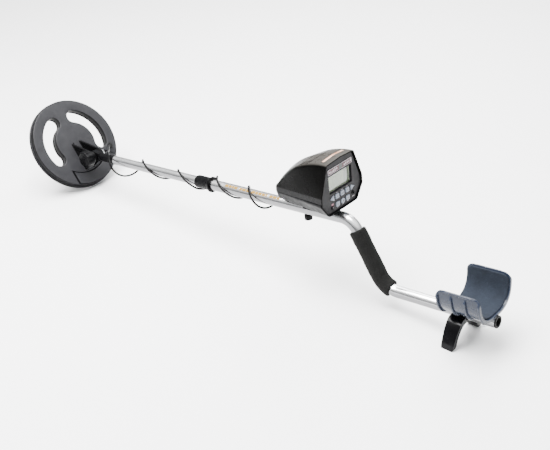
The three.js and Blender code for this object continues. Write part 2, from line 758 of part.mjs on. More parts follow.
function boxLoft(places, inset) {
  const rings = places.map((x) => {
    const along = Math.min(Math.max((x - BOX_FROM) / (BOX_TO - BOX_FROM), 0), 1);
    const lean = Math.tan(BOX_LEAN) * along;
    return roundedRing(boxSection(x, inset)).map(([y, z]) => [x - (z - BOX_LEVEL) * lean, y, z]);
  });
  const count = rings[0].length;
  const positions = rings.flat(2);
  const index = [];
  for (let i = 0; i + 1 < rings.length; i += 1) {
    for (let k = 0; k < count; k += 1) {
      const next = (k + 1) % count;
      const [a, b, c, d] = [i * count + k, i * count + next, (i + 1) * count + next, (i + 1) * count + k];
      index.push(a, b, c, a, c, d);
    }
  }
  const last = (rings.length - 1) * count;
  for (let k = 1; k + 1 < count; k += 1) {
    index.push(0, k + 1, k);
    index.push(last, last + k, last + k + 1);
  }
  const geometry = new THREE.BufferGeometry();
  geometry.setAttribute('position', new THREE.Float32BufferAttribute(positions, 3));
  geometry.setIndex(index);
  geometry.setAttribute('normal', new THREE.Float32BufferAttribute(positions, 3));
  geometry.setAttribute('uv', new THREE.Float32BufferAttribute(new Array((positions.length / 3) * 2).fill(0), 2));
  return geometry;
}

const BOX_STATIONS = [0, 1.5, 5, 12, 27, 47, 72, 104, 130, 140].map((step) => BOX_FROM + step);
const PARTING_SLOPE = Math.atan(0.2056);

// Everything above or below the sloping joint between the two housing shells.
function partingBlock(above) {
  const [from, to] = above ? [GAP / 2, 150] : [-150, -GAP / 2];
  return block(-250, 250, -90, 90, from, to).rotateY(-PARTING_SLOPE).translate(643, 0, 178);
}

function housingShell() {
  const inner = [
    BOX_FROM + BOX_WALL,
    ...BOX_STATIONS.slice(2, -1).map((x) => x + BOX_WALL),
    BOX_TO + 6,
  ];
  return cut(boxLoft(BOX_STATIONS, 0), boxLoft(inner, BOX_WALL));
}

const panelFrame = new THREE.Group();
panelFrame.position.set(BOX_TO, 0, BOX_LEVEL);
panelFrame.setRotationFromMatrix(new THREE.Matrix4().makeBasis(
  new THREE.Vector3(0, 1, 0),
  new THREE.Vector3(-Math.sin(BOX_LEAN), 0, Math.cos(BOX_LEAN)),
  new THREE.Vector3(Math.cos(BOX_LEAN), 0, Math.sin(BOX_LEAN)),
));
detector.add(panelFrame);

const PANEL_FACE = -2.5;               // the label face lies this far inside the rim
const PANEL_BACK = -5;
const KEY_TOP = -0.9;
const KEY_TRAVEL = 1;
const KEY_PITCH = 14.6;
const KEY_ROW_1 = -13.5;
const KEY_ROW_2 = -29;
const KEY_FROM = -27.2;
const DISPLAY_CENTRE = 13;
const DISPLAY_BACK = -9.2;             // back of the window, at the bottom of the panel's well
const WELL_WALL = 1.6;
const DISPLAY_WIDTH = 65;
const DISPLAY_HEIGHT = 34;

function panelOutline(inset) {
  return roundedRing(boxSection(BOX_TO + PANEL_BACK, inset))
    .map(([y, z]) => [y, (z - BOX_LEVEL) / Math.cos(BOX_LEAN)]);
}

function moved(points, x, y) {
  return points.map(([px, py]) => [px + x, py + y]);
}

function grown(points, scale) {
  return points.map(([px, py]) => [px * scale, py * scale]);
}

function arrowOutline(direction) {
  return [[-4.6 * direction, -5], [4.8 * direction, 0], [-4.6 * direction, 5]];
}

const square = roundedRectangle(9.6, 9, 1.3, 2);
const roundKey = circlePoints(4.8, 16);
const powerKey = circlePoints(3.6, 16);

const keys = [
  { name: 'key_left', row: KEY_ROW_1, column: 0, outline: arrowOutline(-1) },
  { name: 'key_menu', row: KEY_ROW_1, column: 1, outline: square },
  { name: 'key_mode', row: KEY_ROW_1, column: 2, outline: square },
  { name: 'key_sense', row: KEY_ROW_1, column: 3, outline: square },
  { name: 'key_right', row: KEY_ROW_1, column: 4, outline: arrowOutline(1) },
  { name: 'key_power', row: KEY_ROW_2 - 2, column: 0, outline: powerKey },
  { name: 'key_notch', row: KEY_ROW_2, column: 1, outline: square },
  { name: 'key_pinpoint', row: KEY_ROW_2, column: 2, outline: roundKey },
  { name: 'key_volume', row: KEY_ROW_2, column: 3, outline: square },
];

const JACK_PLACE = [KEY_FROM + 4 * KEY_PITCH + 1.5, KEY_ROW_2 + 3];

function frontPanel() {
  let panel = solid(plate(panelOutline(BOX_WALL + 2 * GAP), PANEL_BACK, PANEL_FACE));
  const opening = roundedRectangle(DISPLAY_WIDTH, DISPLAY_HEIGHT, 1.5, 2);
  const well = roundedRectangle(DISPLAY_WIDTH + 2 * WELL_WALL, DISPLAY_HEIGHT + 2 * WELL_WALL, 2.5, 2);
  panel = join(panel, plate(moved(well, 0, DISPLAY_CENTRE), DISPLAY_BACK, PANEL_BACK + 0.5));
  panel = cut(panel, plate(moved(opening, 0, DISPLAY_CENTRE), DISPLAY_BACK - 1, 2));
  for (const key of keys) {
    const hole = moved(grown(key.outline, 1.1), KEY_FROM + key.column * KEY_PITCH, key.row);
    panel = cut(panel, plate(hole, -10, 2));
  }
  return cut(panel, rodOf(4.4, -10, 2, 'z', 16).translate(...JACK_PLACE, 0));
}

function buildPanel() {
  add(panelFrame, 'front_panel', frontPanel(), looks.panel);
  for (const key of keys) {
    const cap = plate(key.outline, PANEL_BACK - 0.6, KEY_TOP);
    const flange = plate(grown(key.outline, 1.22), PANEL_BACK - 1.3, PANEL_BACK - GAP);
    const look = key.name === 'key_power' ? looks.blackPlastic : looks.key;
    const mesh = add(panelFrame, key.name, join(cap, flange), look);
    mesh.position.set(KEY_FROM + key.column * KEY_PITCH, key.row, 0);
  }
  const jack = turned([
    [PANEL_BACK - 2.9, 0], [PANEL_BACK - 2.9, 4], [PANEL_FACE + 0.9, 4], [PANEL_FACE + 0.9, 1.9],
    [PANEL_BACK, 1.9], [PANEL_BACK, 0],
  ], 'z', 16);
  add(panelFrame, 'headphone_jack', jack, looks.blackPlastic).position.set(...JACK_PLACE, 0);

  const lens = roundedRectangle(DISPLAY_WIDTH - 2 * GAP, DISPLAY_HEIGHT - 2 * GAP, 1.3, 2);
  add(panelFrame, 'display_window',
    plate(moved(lens, 0, DISPLAY_CENTRE), DISPLAY_BACK, DISPLAY_BACK + 1.5), looks.glass);
  const half = DISPLAY_WIDTH / 2 + 1;
  const [low, high] = [DISPLAY_CENTRE - DISPLAY_HEIGHT / 2 - 1, DISPLAY_CENTRE + DISPLAY_HEIGHT / 2 + 1];
  add(panelFrame, 'display_module',
    block(-half, half, low, high, DISPLAY_BACK - 2.9, DISPLAY_BACK - GAP), looks.display);
  const badge = roundedRectangle(67, 10, 1.2, 2);
  add(panelFrame, 'header_plate', plate(moved(badge, 0, 38.5), PANEL_FACE + GAP, PANEL_FACE + 0.9),
    looks.greyPlastic);
  add(panelFrame, 'display_board',
    block(-34, 34, -6, 34, DISPLAY_BACK - 4.8, DISPLAY_BACK - 3.2), looks.board);
  add(panelFrame, 'key_board', block(-34, 34, -34, -7, PANEL_BACK - 4.8, PANEL_BACK - 3.2),
    looks.board);
}

// Heights inside the box, over the stem axis.
const BATTERY_FLOOR = 22.6;
const BATTERY_FROM = 709;
const BATTERY_SIZE = [48.5, 17.5, 26.5];
const BATTERY_INSIDE = 9.7;

function battery(side) {
  const [length, width, height] = BATTERY_SIZE;
  const y = side > 0 ? BATTERY_INSIDE : -BATTERY_INSIDE - width;
  let cell = solid(block(BATTERY_FROM, BATTERY_FROM + length, y, y + width, BATTERY_FLOOR,
    BATTERY_FLOOR + height));
  for (const rise of [-6.3, 6.3]) {
    const stud = rodOf(2.8, BATTERY_FROM - 2, BATTERY_FROM + 1, 'x', 10);
    cell = join(cell, stud.translate(0, y + width / 2, BATTERY_FLOOR + height / 2 + rise));
  }
  return cell;
}

function batterySnap(side) {
  const [, width, height] = BATTERY_SIZE;
  const y = side > 0 ? BATTERY_INSIDE : -BATTERY_INSIDE - width;
  return block(BATTERY_FROM - 5, BATTERY_FROM - 2.3, y + 2, y + width - 2, BATTERY_FLOOR + 1,
    BATTERY_FLOOR + height - 1);
}

const DOOR_FROM = 706;
const DOOR_TO = 764;

function batteryDoor(side) {
  const [y0, y1] = side > 0 ? [5, 31] : [-31, -5];
  const cover = block(DOOR_FROM, DOOR_TO, y0, y1, BOX_BASE_RISE - 2, BOX_BASE_RISE - GAP);
  const ridges = [0, 1, 2].map((i) => block(DOOR_TO - 10 + i * 3, DOOR_TO - 8.6 + i * 3,
    y0 + 6, y1 - 6, BOX_BASE_RISE - 2.8, BOX_BASE_RISE - 1.9));
  return join(cover, ...ridges);
}

function lowerHousing(shell) {
  let lower = common(shell, partingBlock(false));
  const toStem = (shape) => shape.rotateY(-STEM_SLOPE).translate(0, 0, STEM_BASE);
  const openings = [-1, 1].map((side) => {
    const [y0, y1] = side > 0 ? [8.5, 28.5] : [-28.5, -8.5];
    return toStem(block(BATTERY_FROM - 1, BATTERY_FROM + 50, y0, y1, 10, BATTERY_FLOOR));
  });
  lower = cut(lower, ...openings, toStem(rodOf(3.4, 0, 40, 'z', 12).translate(CLAMP_AT, 0, 0)));
  const notch = block(-3, 3, -1.2, 1.2, -3, 3).rotateY(0.3).translate(739, -42.4, 175);
  return cut(lower, notch, noseHole());
}

const NOSE_GLAND_HEIGHT = 164;
const NOSE_GLAND_LENGTH = 5;

function noseHole() {
  return rodOf(4, -12, 12, 'x', 12).translate(BOX_FROM, 0, NOSE_GLAND_HEIGHT);
}

function speakerSlots() {
  const slots = [];
  for (let i = 0; i < 8; i += 1) {
    const x = 700 + i * 3.2;
    slots.push(block(x, x + 1.1, 22, 34, 235, 280), block(x, x + 1.1, -34, -22, 235, 280));
  }
  return slots;
}

function buildBox() {
  const shell = housingShell();
  const upper = cut(common(shell, partingBlock(true)), noseHole(), ...speakerSlots());
  add(detector, 'housing_upper', upper, looks.glossBlack);
  add(detector, 'housing_lower', lowerHousing(shell), looks.greyPlastic);
  buildPanel();

  for (const [name, side] of [['left', -1], ['right', 1]]) {
    add(stemFrame, `battery_${name}`, battery(side), looks.cell);
    add(stemFrame, `battery_snap_${name}`, batterySnap(side), looks.blackPlastic);
    add(stemFrame, `battery_door_${name}`, batteryDoor(side), looks.greyPlastic);
  }
  add(stemFrame, 'main_board', block(672, 752, -28, 28, 53, 54.6), looks.board);

  const speaker = turned([
    [-9, 0], [-9, 9], [-4, 9], [-3, 17], [-1, 20], [1, 20], [1, 18], [-2, 8], [-2, 0],
  ], 'z', 20);
  const placed = add(detector, 'speaker', speaker, looks.blackPlastic);
  placed.position.set(700, 0, 238);
  placed.rotation.y = -24 * DEG;

  const saddle = block(672, 703, -9, 9, 3, BOX_BASE_RISE - GAP);
  const saddleHole = rodOf(3.4, 0, 40, 'z', 12).translate(CLAMP_AT, 0, 0);
  add(stemFrame, 'rod_saddle',
    cut(saddle, rodOf(ROD_RADIUS + GAP, 600, 800, 'x', 32), saddleHole), looks.blackPlastic);
  const inner = BOX_BASE_RISE + BOX_WALL + GAP;
  add(stemFrame, 'clamp_insert',
    tubeOf(3.9, 6, inner, inner + 6, 'z', 6).translate(CLAMP_AT, 0, 0), looks.brass);
  const knurl = plate(knobOutline(7.6, 10, 0.9), -22.5, -ROD_RADIUS - 0.8);
  const screw = join(knurl, rodOf(3, -13, inner + 5, 'z', 12));
  add(stemFrame, 'clamp_screw', screw.translate([CLAMP_AT, 0, 0]), looks.blackPlastic);
}

// ------------------------------------------------------------------------- coil cable

// The cable's turns round the stem. Each starts over the top of the rod at a distance
// along it; top and bottom are the cable centre's distance from the rod's axis there.
// Lag moves the low point of a turn toward the next one.
const turns = [
  { start: 114.6, top: 12.4, bottom: 30.9, lag: -0.016 },
  { start: 234.8, top: 12.4, bottom: 12.7, lag: 0.13 },
  { start: 345, top: 12.6, bottom: 14.3, lag: 0.1 },
  { start: 458, top: 14.6, bottom: 14, lag: 0.2 },
  { start: 544, top: 14.2, bottom: 20.5, lag: 0.11 },
  { start: 616.3, top: 17, bottom: 17, lag: 0 },
];

// Least distance of the cable's centre from the stem axis where it passes the lock collar.
function collarClearance(along) {
  if (along < COLLAR_FROM - 9 || along > COLLAR_TO + 9) return 0;
  const radius = along < COLLAR_TO - 20 ? 13 : 16;
  return radius + CABLE_RADIUS + GAP + 0.7;
}

function turnPoint(turn, next, share) {
  const swing = 0.5 - 0.5 * Math.cos(2 * Math.PI * share);
  const along = turn.start + (next.start - turn.start) * (share + turn.lag * swing);
  const loose = lerp(share < 0.5 ? turn.top : next.top, turn.bottom, swing);
  const radius = Math.max(loose, collarClearance(along));
  const angle = 2 * Math.PI * share;
  const point = new THREE.Vector3(along, -radius * Math.sin(angle), radius * Math.cos(angle));
  return point.applyAxisAngle(new THREE.Vector3(0, 1, 0), -STEM_SLOPE)
    .add(new THREE.Vector3(0, 0, STEM_BASE));
}

const STEPS_PER_TURN = 14;

function stemCable() {
  const points = [];
  for (let i = 0; i + 1 < turns.length; i += 1) {
    const steps = i + 2 < turns.length ? STEPS_PER_TURN : STEPS_PER_TURN * 0.75;
    for (let k = 0; k < steps; k += 1) {
      points.push(turnPoint(turns[i], turns[i + 1], k / STEPS_PER_TURN));
    }
  }
  const tip = BOX_FROM - NOSE_GLAND_LENGTH - GAP;
  const rise = new THREE.CatmullRomCurve3([
    points.at(-2),
    points.at(-1),
    new THREE.Vector3(tip - 13, 17, NOSE_GLAND_HEIGHT - 15),
    new THREE.Vector3(tip - 6.5, 3.2, NOSE_GLAND_HEIGHT - 1.8),
    new THREE.Vector3(tip - 2, 0, NOSE_GLAND_HEIGHT),
  ], false, 'centripetal');
  const end = new THREE.Vector3(tip - 0.1, 0, NOSE_GLAND_HEIGHT);
  return [...points.slice(0, -2), ...rise.getSpacedPoints(9), end];
}

function glandPoint(rise) {
  return new THREE.Vector3(0, -rise * Math.sin(GLAND_TILT), 1.5 + rise * Math.cos(GLAND_TILT))
    .add(new THREE.Vector3(GLAND_X, GLAND_Y, 0))
    .applyAxisAngle(new THREE.Vector3(0, 1, 0), COIL_PITCH)
    .add(new THREE.Vector3(0, 0, coilHeight));
}

function leadCable() {
  const end = turnPoint(turns[0], turns[1], 0);
  const onward = turnPoint(turns[0], turns[1], 0.04).sub(end).normalize();
  const route = new THREE.CatmullRomCurve3([
    glandPoint(GLAND_LENGTH + GAP),
    glandPoint(GLAND_LENGTH + 6),
    new THREE.Vector3(62, 42, 79.5),
    new THREE.Vector3(92, 17.5, 91),
    end.clone().addScaledVector(onward, -9),
    end,
  ], false, 'centripetal');
  return route.getSpacedPoints(16);
}

function buildCable() {
  const lead = leadCable();
  const stem = stemCable();
  const gapEnd = stem[1].clone().sub(stem[0]).setLength(GAP + 0.1);
  stem[0].add(gapEnd);
  add(detector, 'cable_lead', sweep(lead, CABLE_RADIUS, 0, 8), looks.rubber);
  add(detector, 'cable_stem', sweep(stem, CABLE_RADIUS, 0, 8), looks.rubber);
  const gland = turned([
    [-NOSE_GLAND_LENGTH, 0], [-NOSE_GLAND_LENGTH, CABLE_RADIUS + 0.9], [-2, 4.2], [-2, 5.2],
    [-GAP, 5.2], [-GAP, 3.4], [6, 3.4], [6, 0],
  ], 'x', 12);
  add(detector, 'nose_cable_gland', gland, looks.rubber)
    .position.set(BOX_FROM, 0, NOSE_GLAND_HEIGHT);
}

buildCoil();
buildTiltClamp();
buildLowerStem();
buildTwistLock();
buildRod();
buildCuff();
buildBox();
buildCable();

// The origin is under the middle of the detector, on the ground.
const RIM_FRONT = -COIL_RADIUS * Math.cos(COIL_PITCH) - COIL_THICKNESS * Math.sin(COIL_PITCH);
const CAP_REAR = TAIL_TO + (GAP + CAP_LENGTH) * Math.cos(TAIL_SLOPE);
detector.position.x = -(RIM_FRONT + CAP_REAR) / 2;

export default detector;
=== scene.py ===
# Looks of the metal detector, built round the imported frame.
import math
import random

import bpy
import bmesh
from mathutils import Matrix, Vector
from mathutils.geometry import tessellate_polygon


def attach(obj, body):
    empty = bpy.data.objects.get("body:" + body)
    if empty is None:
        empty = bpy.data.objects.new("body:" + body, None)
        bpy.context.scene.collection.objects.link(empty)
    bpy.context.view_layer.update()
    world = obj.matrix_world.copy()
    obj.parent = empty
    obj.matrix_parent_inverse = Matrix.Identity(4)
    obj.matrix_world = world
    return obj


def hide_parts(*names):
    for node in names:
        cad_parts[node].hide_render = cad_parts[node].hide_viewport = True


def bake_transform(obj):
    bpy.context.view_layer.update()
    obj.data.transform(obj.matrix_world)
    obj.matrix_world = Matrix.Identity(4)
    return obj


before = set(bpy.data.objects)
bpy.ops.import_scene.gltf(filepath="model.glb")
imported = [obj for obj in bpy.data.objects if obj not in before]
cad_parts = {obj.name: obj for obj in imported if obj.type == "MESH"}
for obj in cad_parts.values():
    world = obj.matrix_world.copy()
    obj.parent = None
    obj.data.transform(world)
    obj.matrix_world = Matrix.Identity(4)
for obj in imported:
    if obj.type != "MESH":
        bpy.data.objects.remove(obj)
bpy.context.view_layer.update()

random.seed(7)

# ---- dimensions, in mm
# They repeat the part's own, where x = 0 is over the coil's centre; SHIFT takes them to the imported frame.

SHIFT = -504.0917
DEG = math.pi / 180
COIL_PITCH = 53.93 * DEG
COVER_RADIUS, COVER_LOW, COVER_HIGH = 105, -20.5, -13.3
COIL_HEIGHT = COVER_RADIUS * math.sin(COIL_PITCH) - COVER_LOW * math.cos(COIL_PITCH)
STEM_SLOPE = 5.78 * DEG
STEM_BASE = 74.8
TAIL_SLOPE = 5.7 * DEG
HANDLE_SLOPE = 57.8 * DEG
UPPER_BEND = (788.9, 154.6)
LOWER_BEND = (863.0, 36.9)
ROD_RADIUS = 11.2
TUBE_RADIUS, TUBE_FROM, TUBE_TO = 9.8, 137, 560
ROD_FROM = 420
TAIL_TO = 1081.5
STAND_AT = 1018.5
BOX_FROM, BOX_TO, BOX_LEVEL, BOX_LEAN = 628, 768, 215, 3.6 * DEG
PIVOT_AT, THUMBSCREW_AT, BATTERY_AT, BATTERY_ASIDE = 66.4, 690, 735, 18
BORE_RADIUS = 4.3


def tail_height(x):
    return LOWER_BEND[1] + math.tan(TAIL_SLOPE) * (x - LOWER_BEND[0])


def rot_y(angle):
    return Matrix.Rotation(angle, 4, 'Y')


FIT = Matrix.Translation((SHIFT * 0.001, 0, 0)) @ Matrix.Scale(0.001, 4)
COIL = FIT @ Matrix.Translation((0, 0, COIL_HEIGHT)) @ rot_y(COIL_PITCH)
STEM = FIT @ Matrix.Translation((0, 0, STEM_BASE)) @ rot_y(-STEM_SLOPE)
TAIL = FIT @ Matrix.Translation((STAND_AT, 0, tail_height(STAND_AT))) @ rot_y(-TAIL_SLOPE)
PANEL = FIT @ Matrix((
    (0, -math.sin(BOX_LEAN), math.cos(BOX_LEAN), BOX_TO),
    (1, 0, 0, 0),
    (0, math.cos(BOX_LEAN), math.sin(BOX_LEAN), BOX_LEVEL),
    (0, 0, 0, 1),
))


def lerp(a, b, t):
    return a + (b - a) * t


# ---- camera

AZIMUTH, ELEVATION, ROLL, LENS = 42.35 * DEG, 30.27 * DEG, -3.54 * DEG, 60.96
CAMERA_AT = (1652.5 + SHIFT, -1151.5, 989.5)


def make_camera():
    back = Vector((math.sin(AZIMUTH) * math.cos(ELEVATION),
                   -math.cos(AZIMUTH) * math.cos(ELEVATION), math.sin(ELEVATION)))
    right = Vector((math.cos(AZIMUTH), math.sin(AZIMUTH), 0))
    up = back.cross(right)
    right_rolled = math.cos(ROLL) * right + math.sin(ROLL) * up
    up_rolled = math.cos(ROLL) * up - math.sin(ROLL) * right
    data = bpy.data.cameras.new("camera")
    data.sensor_width = 36
    data.lens = LENS
    camera = bpy.data.objects.new("camera", data)
    bpy.context.collection.objects.link(camera)
    turn = Matrix((right_rolled, up_rolled, back)).transposed().to_4x4()
    place = Vector(CAMERA_AT) * 0.001
    camera.matrix_world = Matrix.Translation(place) @ turn
    bpy.context.scene.camera = camera


make_camera()

# ---- materials

class Look:
    """A Principled material with helpers for procedural detail in object coordinates."""

    def __init__(self, name, color, rough, metal=0.0, **sockets):
        self.name = name
        self.material = bpy.data.materials.new("look_" + name)
        self.material.use_nodes = True
        self.tree = self.material.node_tree
        self.shader = self.tree.nodes["Principled BSDF"]
        self.color = (*color, 1)
        self.shader.inputs["Base Color"].default_value = self.color
        self.shader.inputs["Roughness"].default_value = rough
        self.shader.inputs["Metallic"].default_value = metal
        for key, value in sockets.items():
            self.shader.inputs[key.replace("_", " ")].default_value = value
        self.coordinates = self.node("ShaderNodeTexCoord").outputs["Object"]
        self.height = None

    def node(self, kind, **inputs):
        node = self.tree.nodes.new(kind)
        for key, value in inputs.items():
            node.inputs[key.replace("_", " ")].default_value = value
        return node

    def link(self, source, target):
        self.tree.links.new(source, target)

    def placed(self, scale=(1, 1, 1), turn=(0, 0, 0)):
        mapping = self.node("ShaderNodeMapping", Scale=scale, Rotation=turn)
        self.link(self.coordinates, mapping.inputs["Vector"])
        return mapping.outputs["Vector"]

    def noise(self, size, detail=3.0, scale=(1, 1, 1), turn=(0, 0, 0)):
        node = self.node("ShaderNodeTexNoise", Scale=1 / size, Detail=detail)
        self.link(self.placed(scale, turn), node.inputs["Vector"])
        return node.outputs["Fac"]

    def cells(self, size, randomness=1.0):
        node = self.node("ShaderNodeTexVoronoi", Scale=1 / size, Randomness=randomness)
        self.link(self.placed(), node.inputs["Vector"])
        return node.outputs["Distance"]

    def between(self, factor, low, high, start=0.35, stop=0.65):
        node = self.node("ShaderNodeMapRange", From_Min=start, From_Max=stop, To_Min=low, To_Max=high)
        self.link(factor, node.inputs["Value"])
        return node.outputs["Result"]

    def tint(self, factor, other, start=0.35, stop=0.65):
        mix = self.node("ShaderNodeMix")
        mix.data_type = 'RGBA'
        socket = self.shader.inputs["Base Color"]
        if socket.is_linked:
            self.link(socket.links[0].from_socket, mix.inputs["A"])
        else:
            mix.inputs["A"].default_value = self.color
        mix.inputs["B"].default_value = (*other, 1)
        self.link(self.between(factor, 0, 1, start, stop), mix.inputs["Factor"])
        self.link(mix.outputs["Result"], socket)
        return self

    def rough(self, factor, low, high, start=0.35, stop=0.65):
        self.link(self.between(factor, low, high, start, stop), self.shader.inputs["Roughness"])
        return self

    def bump(self, factor, strength, distance):
        node = self.node("ShaderNodeBump", Strength=strength, Distance=distance)
        self.link(factor, node.inputs["Height"])
        if self.height is not None:
            self.link(self.height, node.inputs["Normal"])
        self.height = node.outputs["Normal"]
        self.link(self.height, self.shader.inputs["Normal"])
        return self

    def upward(self):
        """How far each face looks up, from -1 to 1."""
        facing = self.node("ShaderNodeNewGeometry")
        split = self.node("ShaderNodeSeparateXYZ")
        self.link(facing.outputs["Normal"], split.inputs[0])
        return split.outputs["Z"]

    def sheen_on_top(self, other):
        """Lightens the faces that look up: a painted sheen where the overhead light falls on them."""
        return self.tint(self.upward(), other, 0.55, 1.0)

    def shaded_below(self, other):
        """Darkens the faces that look down: painted shade, the grey band along the tube's underside."""
        return self.tint(self.upward(), other, 0.6, 0.2)

    def edge_highlight(self, other):
        """Lightens the convex edges: a painted highlight along the lips and ribs."""
        edges = self.node("ShaderNodeNewGeometry")
        return self.tint(edges.outputs["Pointiness"], other, 0.52, 0.52 + 1 / 6)


LOOKS = {}


def keep(look):
    LOOKS[look.name] = look
    return look


# name, colour, roughness, size and depth of the moulded grain, specular level
MOULDED = [
    ("coil_plastic", (0.0162, 0.0162, 0.0178), 0.34, 0.0005, 0.3, 0.18),
    # coil_side is a darker copy of coil_plastic: painted shade on the coil's walls, rim and slot sides.
    ("coil_side", (0.0024, 0.0024, 0.0027), 0.4, 0.0007, 0.12, 0.03),
    ("black_plastic", (0.0022, 0.0022, 0.0025), 0.3, 0.0008, 0.15, 0.05),
    ("gloss_black", (0.0022, 0.0022, 0.0026), 0.14, 0.002, 0.05, 0.1),
    ("housing_black", (0.0013, 0.0013, 0.0012), 0.3, 0.0009, 0.03, 0.015),
    ("band_grey", (0.0045, 0.0044, 0.0046), 0.3, 0.0009, 0.05, 0.03),
    ("grey_plastic", (0.0019, 0.0019, 0.0021), 0.34, 0.0006, 0.15, 0.02),
    ("panel_grey", (0.0072, 0.0069, 0.0078), 0.42, 0.0004, 0.2, 0.1),
    ("key_grey", (0.19, 0.21, 0.25), 0.42, 0.0007, 0.15, 0.25),
    ("navy", (0.0095, 0.0135, 0.025), 0.26, 0.0012, 0.1, 0.22),
]
# name, colour, roughness
METALS = [
    ("steel", (0.56, 0.57, 0.58), 0.3),
    ("dark_steel", (0.07, 0.07, 0.075), 0.34),
    ("brass", (0.62, 0.45, 0.19), 0.32),
    ("copper", (0.5, 0.23, 0.11), 0.36),
]
# name, colour, colour of the thin patches
INKS = [
    ("ink_dark", (0.02, 0.022, 0.02), (0.05, 0.055, 0.05)),
    ("ink_light", (0.5, 0.45, 0.47), (0.22, 0.2, 0.215)),
    ("ink_red", (0.04, 0.005, 0.009), (0.06, 0.009, 0.015)),
    ("ink_pink", (0.27, 0.1, 0.13), (0.2, 0.07, 0.09)),
]


def moulded(name, color, rough, grain, depth, specular):
    look = keep(Look(name, color, rough, Specular_IOR_Level=specular))
    lighter = tuple(min(1, c * 1.18 + 0.0004) for c in color)
    look.tint(look.noise(0.03, 4), lighter, 0.4, 0.75)
    look.rough(look.noise(0.012, 4), rough - 0.06, rough + 0.08)
    look.bump(look.noise(grain, 2), depth, 0.0001)
    return look


def brushed(name, color, rough, direction=(1, 1, 1), turn=(0, 0, 0)):
    look = keep(Look(name, color, rough, 1.0))
    darker = tuple(c * 0.82 for c in color)
    look.tint(look.noise(0.05, 3), darker, 0.35, 0.75)
    look.rough(look.noise(0.0011, 3, direction, turn), rough - 0.05, rough + 0.1)
    look.bump(look.noise(0.0007, 2, direction, turn), 0.12, 0.00005)
    return look


def hard_looks():
    for row in MOULDED:
        moulded(*row)
    # The box's upward faces are painted lighter than its sides: painted sheen of the overhead light.
    LOOKS["housing_black"].sheen_on_top((0.036, 0.0335, 0.0305))
    # The cuff's convex edges are lightened with a painted highlight.
    LOOKS["navy"].edge_highlight((0.03, 0.038, 0.055))
    for row in METALS:
        brushed(*row)
    drawn = brushed("aluminium", (0.85, 0.855, 0.86), 0.17, (0.03, 1, 1), (0, STEM_SLOPE, 0))
    # The tube's underside is darkened with painted shade.
    drawn.shaded_below((0.17, 0.17, 0.175))


def soft_looks():
    foam = keep(Look("foam", (0.0032, 0.0032, 0.003), 0.85, Specular_IOR_Level=0.1))
    foam.tint(foam.cells(0.0016), (0.0075, 0.0075, 0.0072), 0.2, 0.8)
    foam.bump(foam.cells(0.0012), 0.7, 0.0004)
    foam.bump(foam.noise(0.012, 3), 0.35, 0.0008)
    rubber = keep(Look("rubber", (0.0032, 0.0032, 0.0032), 0.5, Specular_IOR_Level=0.08))
    rubber.tint(rubber.noise(0.01, 4), (0.0055, 0.0055, 0.0055))
    rubber.bump(rubber.noise(0.0006, 3), 0.3, 0.0001)
    sheath = keep(Look("sheath", (0.0018, 0.0018, 0.002), 0.34, Specular_IOR_Level=0.05))
    sheath.rough(sheath.noise(0.006, 3), 0.3, 0.46)
    sheath.bump(sheath.noise(0.002, 2), 0.12, 0.0001)
    felt = keep(Look("felt", (0.0075, 0.0105, 0.0165), 0.92, Specular_IOR_Level=0.2))
    felt.tint(felt.noise(0.0014, 6), (0.015, 0.02, 0.03), 0.42, 0.72)
    felt.tint(felt.noise(0.02, 4), (0.0062, 0.0085, 0.0135), 0.5, 0.8)
    felt.bump(felt.noise(0.0009, 6), 0.85, 0.0006)


def printed_looks():
    for name, color, thin in INKS:
        ink = keep(Look(name, color, 0.5))
        ink.tint(ink.noise(0.002, 3), thin)
    gold = keep(Look("ink_gold", (0.25, 0.14, 0.012), 0.5, Specular_IOR_Level=0.2))
    gold.tint(gold.noise(0.002, 3), (0.2, 0.105, 0.008))
    gold.rough(gold.noise(0.001, 2), 0.3, 0.5)
    strip = keep(Look("strip", (0.3, 0.12, 0.045), 0.28, Coat_Weight=0.2, Coat_Roughness=0.12))
    strip.tint(strip.noise(0.02, 2, (1, 0.4, 1)), (0.5, 0.33, 0.25), 0.4, 0.6)
    strip.rough(strip.noise(0.003, 3), 0.2, 0.35)


def electronic_looks():
    lcd = keep(Look("lcd", (0.19, 0.255, 0.115), 0.35))
    lcd.tint(lcd.noise(0.02, 2), (0.155, 0.21, 0.095), 0.3, 0.8)
    lcd.bump(lcd.noise(0.0004, 2), 0.08, 0.00005)
    segment = keep(Look("segment", (0.085, 0.12, 0.06), 0.35))
    segment.tint(segment.noise(0.01, 2), (0.07, 0.1, 0.05))
    glass = keep(Look("window", (0.93, 0.96, 0.92), 0.05, Transmission_Weight=0.95, IOR=1.49))
    glass.rough(glass.noise(0.02, 4), 0.03, 0.09)
    board = keep(Look("board", (0.02, 0.11, 0.045), 0.4))
    board.tint(board.cells(0.004), (0.03, 0.16, 0.07), 0.1, 0.6)
    board.bump(board.cells(0.002), 0.3, 0.0002)
    cell = keep(Look("cell", (0.03, 0.045, 0.11), 0.35, 0.3))
    cell.tint(cell.noise(0.02, 2), (0.1, 0.1, 0.12))
    cell.rough(cell.noise(0.004, 3), 0.25, 0.45)


hard_looks()
soft_looks()
printed_looks()
electronic_looks()

# ---- meshes

def new_object(name, vertices, faces, place):
    """A mesh object with its doubled points joined and its faces turned outward."""
    mesh = bpy.data.meshes.new(name)
    mesh.from_pydata([place @ Vector(v) for v in vertices], [], faces)
    work = bmesh.new()
    work.from_mesh(mesh)
    bmesh.ops.remove_doubles(work, verts=work.verts, dist=1e-7)
    bmesh.ops.recalc_face_normals(work, faces=work.faces)
    work.to_mesh(mesh)
    work.free()
    thing = bpy.data.objects.new(name, mesh)
    bpy.context.collection.objects.link(thing)
    return thing


